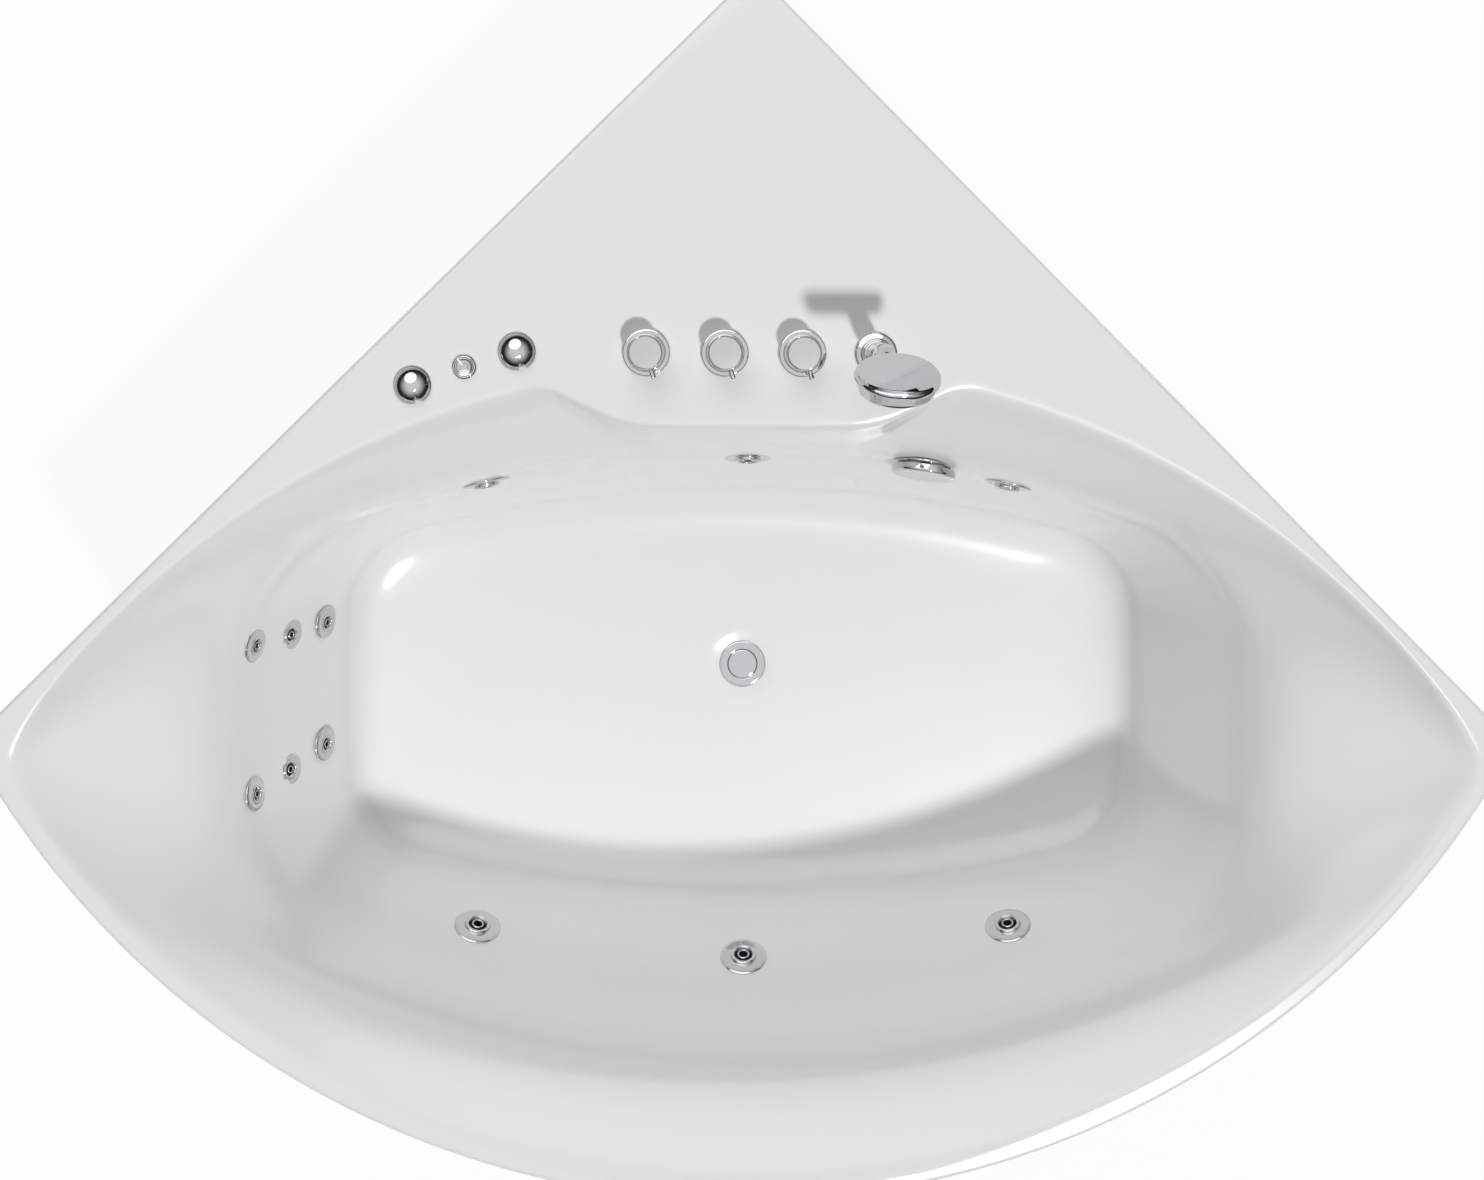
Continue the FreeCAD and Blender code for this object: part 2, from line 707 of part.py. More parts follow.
grip_rings = [Part.Wire(Part.makeCircle(radius, Vector(0, 0, z))) for z, radius in (
    (wand_low, wand_radius - 1.5), (wand_low + 20, wand_radius + 0.6), (wand_low + 55, wand_radius + 1.2),
    (neck_start, wand_radius))]
for share, half_across, half_deep in ((0.5, 1.35 * wand_radius, 0.95 * wand_radius),
                                      (1.0, 2.1 * wand_radius, 0.8 * wand_radius)):
    centre = Vector(0, 0, neck_start) * (1 - share) + neck_end * share
    tilt = UP * (1 - share) - in_plane * share
    oval = Part.Ellipse(Vector(0, 0, 0), half_across, half_deep).toShape()
    grip_rings.append(Part.Wire(stand(oval, centre, tilt.normalize())))
grip = Part.makeLoft(grip_rings, True, False)
plate_recess = disc(plate_radius + sliding, head_thickness - plate_thickness, 2 * head_thickness)
hand_shower = fuse([stem, grip, head]).cut(stand(plate_recess, head_back, spray))
write("hand_shower", stand(hand_shower, shower_place))
spray_plate = turned([
    (0, head_thickness - plate_thickness + running),
    (plate_radius, head_thickness - plate_thickness + running),
    (plate_radius, head_thickness - 0.5), (0, head_thickness + 0.8),
])
write("spray_plate", stand(stand(spray_plate, head_back, spray), shower_place))
nipple_top = stem_low
nipple = turned([
    (0, nipple_top - 22), (5, nipple_top - 22), (5, nipple_top - 12), (stem_radius - 0.5, nipple_top - 8),
    (stem_radius - 0.5, nipple_top), (0, nipple_top),
])
write("shower_hose_nipple", stand(nipple, shower_place))

# ---- air controls and button --------------------------------------------------------------------
dome_low = air_flange_height + seat_gap
dome_sphere = (air_knob_radius ** 2 + air_dome_height ** 2) / (2 * air_dome_height)
dome = Part.makeSphere(dome_sphere, Vector(0, 0, dome_low + air_dome_height - dome_sphere))
dome = dome.common(disc(air_knob_radius + 1, dome_low, dome_low + air_dome_height + 1))
notch = Part.makeBox(notch_length, notch_width, air_dome_height + 2,
                     Vector(air_knob_radius - notch_length + 1, -notch_width / 2, dome_low - 1))
dome = dome.cut(notch).fuse(disc(spindle_radius, -air_valve_length * 0.6, dome_low + 2))
air_valve = turned([
    (spindle_bore, air_flange_height), (air_knob_radius - 3, air_flange_height), (air_knob_radius - 3, 0),
    (air_valve_radius, 0), (air_valve_radius, -air_valve_length), (6, -air_valve_length),
    (6, -air_valve_length - 15), (4, -air_valve_length - 15), (4, -air_valve_length * 0.6 - 3),
    (spindle_bore, -air_valve_length * 0.6 - 3),
])
air_nut = hex_nut(air_nut_across, air_valve_radius + running, nut_low, -sheet - gasket)
air_washer = ring(air_nut_across / 2, air_valve_radius + sliding, -sheet - gasket, -sheet)
for name, (x, b) in AIR_KNOBS.items():
    place = at(x, b, rim_height)
    deck_port(x, b, air_valve_radius + pass_through)
    knob = dome.copy()
    knob.Placement = FreeCAD.Placement(place, lever_turn).multiply(knob.Placement)
    write(f"air_knob_{name}", knob)
    gather("air_valves", stand(air_valve, place))
    gather("deck_nuts", stand(air_nut, place))
    gather("deck_washers", stand(air_washer, place))

button_place = at(*button_at, rim_height)
button_length = button_skirt + bellows_ratio * button_travel + button_floor
barrel_in = button_radius + running
barrel_out = barrel_in + button_barrel_wall
deck_port(*button_at, barrel_out + pass_through)
bezel = turned([
    (barrel_in, bezel_height), (barrel_in + 1.5, bezel_height), (bezel_radius, 1.5), (bezel_radius, 0),
    (barrel_out, 0), (barrel_out, -button_length), (3, -button_length), (3, -button_length - 12),
    (1.5, -button_length - 12), (1.5, button_floor - button_length),
    (barrel_in, button_floor - button_length),
])
write("button_bezel", stand(bezel, button_place))
push = turned([
    (0, bezel_height - 2.2), (4, bezel_height - 2.2), (button_radius - 3, bezel_height - 1),
    (button_radius - 0.6, bezel_height + 0.3), (button_radius, bezel_height - 0.5),
    (button_radius, -button_skirt), (0, -button_skirt),
])
write("air_button", stand(push, button_place))
bellows = ring(button_radius - 2.5, button_radius - 4.5, button_floor - button_length, -button_skirt)
write("button_bellows", stand(bellows, button_place))
button_nut = hex_nut(button_nut_across, barrel_out + running, nut_low, -sheet - gasket)
gather("deck_nuts", stand(button_nut, button_place))
button_washer = ring(button_nut_across / 2, barrel_out + sliding, -sheet - gasket, -sheet)
gather("deck_washers", stand(button_washer, button_place))

# ---- overflow and filler ------------------------------------------------------------------------
point, overflow_axis = wall_spot(at(overflow_x, basin_centre_b, rim_height - overflow_depth), BACK)
overflow_seat = point - overflow_axis * seat_sink
wall_port(overflow_seat, overflow_axis, overflow_shank + pass_through,
          overflow_plate_radius + sliding, overflow_plate_radius + pad_margin)
fall = (DOWN - overflow_axis * DOWN.dot(overflow_axis)).normalize()
spout_at = overflow_seat + overflow_axis * (overflow_pipe_radius - overflow_length)
spout_length = overflow_shank + overflow_spout
flange_rim = overflow_plate_radius - overflow_lap
filler_end = -overflow_length - filler_collar - supply_length
overflow_solid = turned([
    (0, jet_flange_thickness), (flange_rim, jet_flange_thickness), (flange_rim, 0), (overflow_shank, 0),
    (overflow_shank, -overflow_length), (filler_collar_radius, -overflow_length),
    (filler_collar_radius, -overflow_length - filler_collar),
    (supply_radius, -overflow_length - filler_collar), (supply_radius, filler_end), (0, filler_end),
])
overflow_hollow = turned([
    (0, filler_end - 1), (supply_bore, filler_end - 1), (supply_bore, overflow_floor - overflow_length),
    (overflow_chamber, overflow_floor - overflow_length), (overflow_chamber, jet_flange_thickness + 1),
    (0, jet_flange_thickness + 1),
])
spout = Part.makeCylinder(overflow_pipe_radius, spout_length, spout_at, fall)
spout_bore = Part.makeCylinder(overflow_pipe_radius - overflow_pipe_wall, spout_length + 1, spout_at, fall)


def spokes(centre, reach, low, high):
    """Three webs about a round centre, out to reach."""
    made = [disc(centre, low, high)]
    for k in range(3):
        spoke = Part.makeBox(reach, web, high - low, Vector(0, -web / 2, low))
        spoke.rotate(Vector(0, 0, 0), UP, 120 * k)
        made.append(spoke)
    return fuse(made)


hub = spokes(hub_radius, overflow_chamber + 1, hub_low, hub_high)
hub = hub.cut(disc(spindle_bore, hub_low - 1, hub_high + 1))
overflow_body = stand(overflow_solid, overflow_seat, overflow_axis).fuse(spout)
overflow_body = overflow_body.cut(stand(overflow_hollow, overflow_seat, overflow_axis)).cut(spout_bore)
overflow_body = overflow_body.fuse(stand(hub, overflow_seat, overflow_axis))
write("overflow_body", overflow_body)
overflow_plate = turned([
    (overflow_chamber, jet_flange_thickness), (flange_rim + jet_ball_gap, jet_flange_thickness),
    (flange_rim + jet_ball_gap, 0), (overflow_plate_radius, 0),
    (overflow_plate_radius, overflow_plate_height - overflow_bevel),
    (overflow_plate_radius - overflow_bevel, overflow_plate_height),
    (overflow_chamber, overflow_plate_height),
])
write("overflow_plate", stand(overflow_plate, overflow_seat, overflow_axis))
knob_back = overflow_knob_high - overflow_knob_face
knob_inner = overflow_knob_radius - overflow_knob_wall
overflow_knob = turned([
    (0, hub_low - overflow_floor), (spindle_radius, hub_low - overflow_floor), (spindle_radius, knob_back),
    (knob_inner, knob_back), (knob_inner, overflow_knob_low), (overflow_knob_radius, overflow_knob_low),
    (overflow_knob_radius, overflow_knob_high - overflow_knob_wall),
    (overflow_knob_radius - overflow_knob_wall, overflow_knob_high), (0, overflow_knob_high),
])
write("overflow_knob", stand(overflow_knob, overflow_seat, overflow_axis))
overflow_nut = ring(overflow_plate_radius, overflow_shank + running,
                    -pad_depth - gasket - overflow_nut_height, -pad_depth - gasket)
gather("wall_nuts", stand(overflow_nut, overflow_seat, overflow_axis))
overflow_gasket = ring(overflow_plate_radius, overflow_shank + sliding, -pad_depth - gasket, -pad_depth)
gather("wall_gaskets", stand(overflow_gasket, overflow_seat, overflow_axis))

# ---- waste --------------------------------------------------------------------------------------
waste_at = at(drain_x, drain_b, floor_z - dish_drop)
cutters.append(stand(disc(waste_thread_radius + pass_through, -2 * sheet, 1), waste_at))
shell_under = dish_drop - sheet
cup_radius = drain_cap_radius + waste_cup_gap
drain_flange = turned([
    (waste_bore_radius, -waste_thread_length), (waste_thread_radius, -waste_thread_length),
    (waste_thread_radius, 0), (drain_flange_radius, 0), (drain_flange_radius, waste_flange_edge),
    (drain_flange_radius - 2.5, waste_flange_height), (cup_radius + 0.7, waste_flange_height),
    (cup_radius, waste_flange_height - 0.7), (cup_radius, -waste_cup_depth),
    (waste_bore_radius, -waste_cup_depth),
])
write("drain_flange", stand(drain_flange, waste_at))
cap_low = seat_gap - waste_cup_depth
guide_low = guide_height - waste_length
stem_low_end = guide_low - plug_lift - plug_stem_margin
drain_plug = turned([
    (0, stem_low_end), (stem_guide_radius, stem_low_end),
    (stem_guide_radius, cap_low), (drain_cap_radius, cap_low),
    (drain_cap_radius, plug_cap_height - plug_cap_bevel),
    (drain_cap_radius - plug_cap_bevel, plug_cap_height), (0, plug_cap_height),
])
write("drain_plug", stand(drain_plug, waste_at))
waste_gasket_low = shell_under - gasket
body_flange_radius = waste_body_radius + waste_body_flange
body_flange_low = waste_gasket_low - waste_body_flange_height
drain_gasket = ring(body_flange_radius, waste_thread_radius + sliding, waste_gasket_low, shell_under)
write("drain_gasket", stand(drain_gasket, waste_at))
body_bore = waste_thread_radius + running
waste_body = turned([
    (body_bore, waste_gasket_low), (body_flange_radius, waste_gasket_low),
    (body_flange_radius, body_flange_low),
    (waste_body_radius, body_flange_low), (waste_body_radius, -waste_length), (body_bore, -waste_length),
])
guide_high = guide_low + guide_height
guide = spokes(guide_radius, waste_thread_radius + 1, guide_low, guide_high)
guide = guide.cut(disc(stem_guide_radius + running, guide_low - 1, guide_high + 1))
suction_from = Vector(0, 0, -suction_depth)
suction_reach = waste_body_radius + suction_length
suction_port = Part.makeCylinder(suction_radius, suction_reach, suction_from, RIGHT * -1)
suction_bore = Part.makeCylinder(suction_radius - suction_wall, suction_reach + 1, suction_from, RIGHT * -1)
waste_body = waste_body.fuse(suction_port.cut(disc(body_bore + 1, -waste_length, 0)))
waste_body = waste_body.cut(suction_bore.cut(disc(body_bore - 1, -waste_length, 0))).fuse(guide)
write("drain_body", stand(waste_body, waste_at))
trap_low = -waste_length - trap_length
trap_in = trap_radius - trap_wall
trap_mouth_radius = waste_thread_radius + 2
trap = turned([
    (trap_mouth_radius, -waste_length), (trap_radius, -waste_length), (trap_radius, trap_low),
    (0, trap_low), (0, trap_low + trap_wall), (trap_in, trap_low + trap_wall),
    (trap_in, -waste_length - trap_wall), (trap_mouth_radius, -waste_length - trap_wall),
])
outlet_z = trap_low + outlet_radius + outlet_collar_rise
outlet_from = Vector(0, 0, outlet_z)
outlet_reach = trap_radius + outlet_collar + outlet_length
outlet_way = FreeCAD.Rotation(UP, outlet_turn).multVec(BACK)
outlet = Part.makeCylinder(outlet_radius, outlet_reach, outlet_from, outlet_way)
outlet_bore = Part.makeCylinder(outlet_radius - outlet_wall, outlet_reach + 1, outlet_from, outlet_way)
collar_start = waste_body_radius + 2
collar = Part.makeCylinder(outlet_radius + outlet_collar_rise, trap_radius + outlet_collar - collar_start,
                           outlet_from + outlet_way * collar_start, outlet_way)
inlet_reach = trap_radius + trap_inlet
trap_port = Part.makeCylinder(overflow_pipe_radius, inlet_reach, outlet_from, RIGHT)
trap_bore = Part.makeCylinder(overflow_pipe_radius - overflow_pipe_wall, inlet_reach + 1, outlet_from, RIGHT)
trap_inside = disc(trap_in, trap_low + trap_wall, -waste_length - trap_wall)
trap = trap.fuse(outlet.fuse(collar).cut(trap_inside)).fuse(trap_port.cut(trap_inside))
trap = trap.cut(outlet_bore).cut(trap_bore)
write("drain_trap", stand(trap, waste_at))
trap_mouth = waste_at + Vector(inlet_reach, 0, outlet_z)
spout_end = spout_at + fall * spout_length
behind = Vector(spout_end.x + fall.x * 60, spout_end.y + fall.y * 60 + 6, spout_end.z - 60)
low = Vector(behind.x + 8, behind.y + 10, 150)
overflow_route = [
    spout_end, spout_end + fall * 40, behind, Vector(behind.x, behind.y + 12, 300), low,
    Vector(low.x, low.y - 8, trap_mouth.z + 12), Vector(low.x - 14, low.y - 60, trap_mouth.z - 2),
    Vector(trap_mouth.x + 130, trap_mouth.y + 90, trap_mouth.z),
    Vector(trap_mouth.x + 70, trap_mouth.y, trap_mouth.z), trap_mouth,
]
write("overflow_pipe", hose(overflow_route, overflow_pipe_radius))

# ---- board and frame ----------------------------------------------------------------------------
board_edge = outline(STATIONS[-1], -board_margin, 0.0)
board_edge.translate(Vector(0, 0, board_under - floor_z))
base_board = Part.Face(board_edge).extrude(Vector(0, 0, board_thickness))
waste_opening = disc(body_flange_radius + 4, board_under - 1, board_top + 1)
base_board = base_board.cut(stand(waste_opening, at(drain_x, drain_b)))
write("base_board", base_board)


def bar(start, end, width, low, high):
    """An upright-sided bar between two plan places."""
    first, last = at(*start, low), at(*end, low)
    box = Part.makeBox((last - first).Length, width, high - low, Vector(0, -width / 2, 0))
    box.rotate(Vector(0, 0, 0), UP, math.degrees(math.atan2(last.y - first.y, last.x - first.x)))
    box.translate(first)
    return box


def column(x, b, width, low, high):
    return Part.makeBox(width, width, high - low, at(x - width / 2, b + width / 2, low))


def side_rail_x(b):
    corner_x, corner_b = corner_post_at
    return (b - apex_post_b) * corner_x / (corner_b - apex_post_b)


def arm_start(angle):
    """Where an arm leaves the front rails."""
    run_x, run_b = math.sin(math.radians(abs(angle))), math.cos(math.radians(angle))
    reach = (cross_front_b - front_centre_b) / run_b
    if reach * run_x > cross_front_half:
        corner_x, corner_b = corner_post_at
        slope = (cross_front_b - corner_b) / (cross_front_half - corner_x)
        reach = (corner_b - front_centre_b - slope * corner_x) / (run_b - slope * run_x)
    return reach


side_post_b = apex_post_b + side_post_x * (corner_post_at[1] - apex_post_b) / corner_post_at[0]
rails = [((0, apex_post_b - rail / 2), (0, cross_back_b)),
         ((-side_rail_x(cross_back_b), cross_back_b), (side_rail_x(cross_back_b), cross_back_b)),
         ((-cross_front_half, cross_front_b), (cross_front_half, cross_front_b))]
for sign in (-1, 1):
    corner = (sign * corner_post_at[0], corner_post_at[1])
    rails.append(((0, apex_post_b), corner))
    rails.append(((sign * long_rail_x, cross_back_b), (sign * long_rail_x, cross_front_b)))
    rails.append((corner, (sign * cross_front_half, cross_front_b)))
apron_out = front_radius - sheet - apron_gap
apron_in = apron_out - apron_sheet


def tubes(blocks, bores):
    """Square tubes welded end to side: each one stops at the faces of those before it."""
    made = []
    for k, (block, bore) in enumerate(zip(blocks, bores)):
        if k:
            block = block.cut(Part.makeCompound(blocks[:k]))
        made.append(block.cut(bore))
    return made


rail_blocks = [bar(p, q, rail, rail_under, board_under) for p, q in rails]
rail_bores = [bar(p, q, rail - 2 * rail_wall, rail_under + rail_wall, board_under - rail_wall)
              for p, q in rails]
feet = [(0, apex_post_b), (-side_post_x, side_post_b), (side_post_x, side_post_b),
        (-corner_post_at[0], corner_post_at[1]), corner_post_at,
        (-cross_front_half, cross_front_b), (cross_front_half, cross_front_b)]
stud_holes = Part.makeCompound([stand(disc(stud_radius + running, -1, rail_wall + 1), at(x, b, rail_under))
                                for x, b in feet])
for tube in tubes(rail_blocks, rail_bores):
    gather("frame_rails", tube.cut(stud_holes))

arm_low = rail_under + (rail - arm_width) / 2
arm_high = arm_low + arm_width
arm_tip = apron_in - seat_gap - arm_plate
screw = turned([(0, -14), (screw_radius, -14), (screw_radius, 0), (screw_head_radius, 0),
                (screw_head_radius - 0.8, 1.6), (screw_head_radius - 3, 2.6), (0, 2.6)])
screw_holes = []
for angle in ARM_ANGLES:
    run_x, run_b = math.sin(math.radians(angle)), math.cos(math.radians(angle))

    def radial(r):
        return r * run_x, front_centre_b + r * run_b

    arm = bar(radial(arm_start(angle)), radial(arm_tip), arm_width, arm_low, arm_high)
    bore = bar(radial(arm_start(angle) - rail), radial(arm_tip - 1), arm_width - 2 * rail_wall,
               arm_low + rail_wall, arm_high - rail_wall)
    plate = bar(radial(arm_tip), radial(arm_tip + arm_plate), 2 * arm_width, arm_low, arm_high)
    head_at = at(*radial(apron_out), arm_low + arm_width / 2)
    outward = Vector(run_x, -run_b, 0)
    screw_hole = stand(disc(screw_radius + running, -15, 1), head_at, outward)
    bracket = arm.cut(Part.makeCompound(rail_blocks)).cut(bore).fuse(plate).cut(screw_hole)
    gather("apron_brackets", bracket)
    gather("apron_screws", stand(screw, head_at, outward))
    screw_holes.append(screw_hole)

for x, b in ((0, apex_post_b), (-side_post_x, side_post_b), (side_post_x, side_post_b)):
    tube = column(x, b, post, board_under, deck_under)
    gather("frame_posts", tube.cut(column(x, b, post - 2 * rail_wall, board_under - 1, deck_under + 1)))
tab_low_x, tab_high_x, tab_low_b, tab_high_b = corner_tab
post_x, post_b = corner_post_at
post_top = deck_under - corner_tab_drop
for sign in (-1, 1):
    tube = column(sign * post_x, post_b, post, board_under, post_top)
    tube = tube.cut(column(sign * post_x, post_b, post - 2 * rail_wall, board_under - 1, post_top + 1))
    shelf_in = post_x - post / 2
    shelf_x = shelf_in if sign > 0 else -tab_high_x
    tab_x = tab_low_x if sign > 0 else -tab_high_x
    shelf = Part.makeBox(tab_high_x - shelf_in, tab_high_b - tab_low_b, 8, at(shelf_x, tab_high_b, post_top))
    tab = Part.makeBox(tab_high_x - tab_low_x, tab_high_b - tab_low_b, corner_tab_drop,
                       at(tab_x, tab_high_b, post_top))
    gather("frame_posts", fuse([tube, shelf, tab]))
stud_foot = foot_pad_height - stud_socket
foot_pad = turned([
    (0, 0), (foot_pad_radius - 2, 0), (foot_pad_radius, 2), (foot_pad_radius, foot_pad_height - 5),
    (stud_radius + 6, foot_pad_height), (stud_radius + running, foot_pad_height),
    (stud_radius + running, stud_foot), (0, stud_foot),
])
stud = disc(stud_radius, stud_foot, rail_under + rail_wall + stud_above)
stud_nut = hex_nut(stud_nut_across, stud_radius + running, rail_under - stud_nut_height, rail_under)
write("foot_pads", *[stand(foot_pad, at(x, b)) for x, b in feet])
write("foot_studs", *[stand(stud, at(x, b)) for x, b in feet])
write("foot_locknuts", *[stand(stud_nut, at(x, b)) for x, b in feet])

# ---- apron --------------------------------------------------------------------------------------
apron_profile = Part.makePolygon([
    Vector(r, 0, z) for r, z in (
        (apron_in - apron_flange, apron_low), (apron_out, apron_low), (apron_out, deck_under - seat_gap),
        (apron_in, deck_under - seat_gap), (apron_in, apron_low + apron_sheet),
        (apron_in - apron_flange, apron_low + apron_sheet), (apron_in - apron_flange, apron_low))
])
apron = Part.Face(apron_profile)
apron.rotate(Vector(0, 0, 0), UP, -90 - apron_half_angle)
apron = apron.revolve(Vector(0, 0, 0), UP, 2 * apron_half_angle)
apron.translate(at(0, front_centre_b))
apron = apron.cut(Part.makeCompound(screw_holes))
write("front_apron", apron)

# ---- pump ---------------------------------------------------------------------------------------
tray_edge = [at(sign * side_rail_x(b), b, board_under)
             for sign, b in ((-1, tray_back_b), (1, tray_back_b), (1, tray_front_b), (-1, tray_front_b))]
tray = Part.Face(Part.makePolygon(tray_edge + tray_edge[:1])).extrude(Vector(0, 0, tray_sheet))
write("pump_tray", tray)
pump_at = at(0, pump_b, board_under + tray_sheet + pump_axis_height)
fin_radius = motor_radius + fin_height
fin_count = math.ceil((motor_length - 2 * fin_margin) / fin_pitch)
motor_outline = [(0, 0), (motor_radius, 0)]
for k in range(fin_count):
    start = fin_margin + k * fin_pitch
    motor_outline += [(motor_radius, start), (fin_radius, start), (fin_radius, start + fin_width),
                      (motor_radius, start + fin_width)]
motor_outline += [(motor_radius, motor_length), (0, motor_length)]
write("pump_motor", stand(turned(motor_outline), pump_at, RIGHT))
cover = turned([
    (0, motor_length), (motor_radius + cover_lap, motor_length),
    (motor_radius + cover_lap, motor_length + cover_side),
    (motor_radius - cover_bevel, motor_length + cover_end), (0, motor_length + cover_end),
])
vent_low, vent_high = motor_length + cover_end - vent_depth, motor_length + cover_end + 1
vents = [ring(radius + vent_width, radius, vent_low, vent_high) for radius in VENT_RADII]
write("pump_fan_cover", stand(cover.cut(Part.makeCompound(vents)), pump_at, RIGHT))
volute = stand(turned([
    (0, 0), (0, -volute_length), (volute_radius - volute_nose, -volute_length),
    (volute_radius, volute_nose - volute_length), (volute_radius, -volute_bevel),
    (volute_radius - volute_bevel, 0),
]), pump_at, RIGHT)
suction_end = pump_at - RIGHT * (volute_length + port_length)
suction_pipe = Part.makeCylinder(pump_suction_radius, port_length + 1, suction_end, RIGHT)
discharge_root = pump_at + Vector(-volute_length / 2, discharge_offset, 0)
discharge_end = discharge_root + UP * (volute_radius + port_length)
discharge_pipe = Part.makeCylinder(pump_discharge_radius, volute_radius + port_length, discharge_root, UP)
write("pump_volute", fuse([volute, suction_pipe, discharge_pipe]))
write("pump_unions", *[
    stand(ring(radius + union_wall, radius + running, union_gap, union_length), end, inward)
    for radius, end, inward in ((pump_suction_radius, suction_end, RIGHT),
                                (pump_discharge_radius, discharge_end, DOWN))
])


def pump_block(size, middle, low):
    """A block on the pump's centre line, its middle and underside given from the motor's front face."""
    return Part.makeBox(*size, pump_at + Vector(middle - size[0] / 2, -size[1] / 2, low))


foot_block = pump_block(foot_block_size, foot_middle, -pump_axis_height)
foot_plate = pump_block(foot_plate_size, foot_middle, -pump_axis_height)
foot_space = stand(disc(fin_radius + sliding, -1, motor_length + 1), pump_at, RIGHT)
write("pump_foot", foot_block.fuse(foot_plate).cut(foot_space))
write("pump_terminal_box", pump_block(terminal_size, terminal_middle, fin_radius))

# ---- shell --------------------------------------------------------------------------------------
shell = deck.fuse(basin_outside).fuse(pads).cut(basin_space).cut(dish).cut(Part.makeCompound(cutters))
write("tub_shell", shell)

for node, solids in gathered.items():
    write(node, *solids)
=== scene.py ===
import json
import math

import bpy
import numpy as np
from mathutils import Matrix, Vector

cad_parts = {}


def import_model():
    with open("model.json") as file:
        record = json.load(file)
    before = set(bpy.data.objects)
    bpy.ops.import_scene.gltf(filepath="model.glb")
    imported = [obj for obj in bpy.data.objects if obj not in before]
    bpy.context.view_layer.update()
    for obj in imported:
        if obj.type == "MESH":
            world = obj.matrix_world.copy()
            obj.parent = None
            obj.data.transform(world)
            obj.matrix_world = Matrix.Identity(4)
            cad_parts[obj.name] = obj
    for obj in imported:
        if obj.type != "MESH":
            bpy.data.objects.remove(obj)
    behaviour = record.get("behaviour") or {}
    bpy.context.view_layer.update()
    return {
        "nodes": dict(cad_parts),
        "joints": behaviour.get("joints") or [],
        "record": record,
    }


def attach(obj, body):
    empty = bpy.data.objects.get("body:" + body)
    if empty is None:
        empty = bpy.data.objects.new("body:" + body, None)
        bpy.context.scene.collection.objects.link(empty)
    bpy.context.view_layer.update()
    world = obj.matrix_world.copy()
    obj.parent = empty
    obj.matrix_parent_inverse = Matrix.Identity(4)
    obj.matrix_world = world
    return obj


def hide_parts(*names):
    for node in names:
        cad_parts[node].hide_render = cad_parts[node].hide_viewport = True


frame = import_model()
nodes = frame["nodes"]
joints = {j["name"]: j for j in frame["joints"]}

# A corner bathtub with water jets, metres, +Z up, the room's corner at +Y. Plan positions are (x, b), with b
# the distance forward from the room's corner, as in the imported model's source. The turned fittings' outlines
# are (radius, height) points in millimetres, from the face that the fitting sits on.

# ---- plan and rim ------------------------------------------------------------------------------
SIDE_LENGTH = 1.400
FRONT_RADIUS = 1.130
RIM_HEIGHT = 0.600
SHEET = 0.008
LIP_DEPTH = 0.040
LIP_ROUND = 0.002
CORNER_ROUND = 0.035
APEX_ROUND = 0.012
EDGE_ROUND = 0.007
LEAST_ROUND = 0.003         # left of a corner's rounding where the outline moves in
HALF_WIDTH = SIDE_LENGTH / math.sqrt(2)
FRONT_CENTRE_B = HALF_WIDTH - math.sqrt(FRONT_RADIUS ** 2 - HALF_WIDTH ** 2)
FRONT_B = FRONT_CENTRE_B + FRONT_RADIUS
MIDDLE_B = (FRONT_B + APEX_ROUND * (math.sqrt(2) - 1)) / 2

# ---- basin -------------------------------------------------------------------------------------
BASIN_DEPTH = 0.430
FLOOR_Z = RIM_HEIGHT - BASIN_DEPTH
SIDE_CENTRE_RIM_B = 1.008
SIDE_CENTRE_FLOOR_B = 0.968
# Share of the depth, side inset, side radius, back edge's b and radius, front edge's inset and radius,
# corner radius.
STATIONS = np.array([
    (0.000, 0.040, 0.200, 0.499, 1.135, 0.024, 1.106, 0.050),
    (0.060, 0.097, 0.330, 0.532, 1.190, 0.082, 1.165, 0.075),
    (0.140, 0.172, 0.480, 0.568, 1.270, 0.132, 1.235, 0.095),
    (0.250, 0.262, 0.750, 0.606, 1.400, 0.154, 1.330, 0.112),
    (0.450, 0.314, 1.200, 0.631, 1.560, 0.178, 1.500, 0.116),
    (0.630, 0.352, 1.700, 0.654, 1.700, 0.216, 1.680, 0.108),
    (0.860, 0.393, 2.300, 0.688, 1.820, 0.255, 1.950, 0.092),
    (0.960, 0.412, 2.450, 0.708, 1.870, 0.281, 2.150, 0.076),
    (1.000, 0.448, 2.500, 0.744, 1.900, 0.320, 2.275, 0.060),
])
TONGUE_FRONT_B = 0.586
TONGUE_FRONT_HALF = 0.158
TONGUE_ROOT_B = 0.533
TONGUE_ROOT_HALF = 0.272
TONGUE_SLOPE = 0.27
TONGUE_CORNER = 0.014
TONGUE_BLEND = 0.014
ROLL = 0.007                # round edge where the deck turns down into the bath
FLOOR_EASE = 1.3            # draws the floor's rows together towards the drain
# Shares of the depth at which a row of the mesh runs round the wall, and round its underside.
WALL_SHARES = np.concatenate([np.linspace(0.02, 0.10, 8), np.linspace(0.12, 0.88, 42),
                              np.linspace(0.90, 1.0, 11)])
UNDER_SHARES = np.concatenate([np.linspace(1.0, 0.9, 6), np.linspace(0.85, 0.05, 20)])

# ---- drain -------------------------------------------------------------------------------------
DRAIN_B = 0.969
DISH_RADIUS = 0.0495
DISH_DROP = 0.004
DISH_WALL = 0.010
WASTE_HOLE = 0.0248
DRAIN_FLANGE = 0.0355
DRAIN_GAP = 0.0005


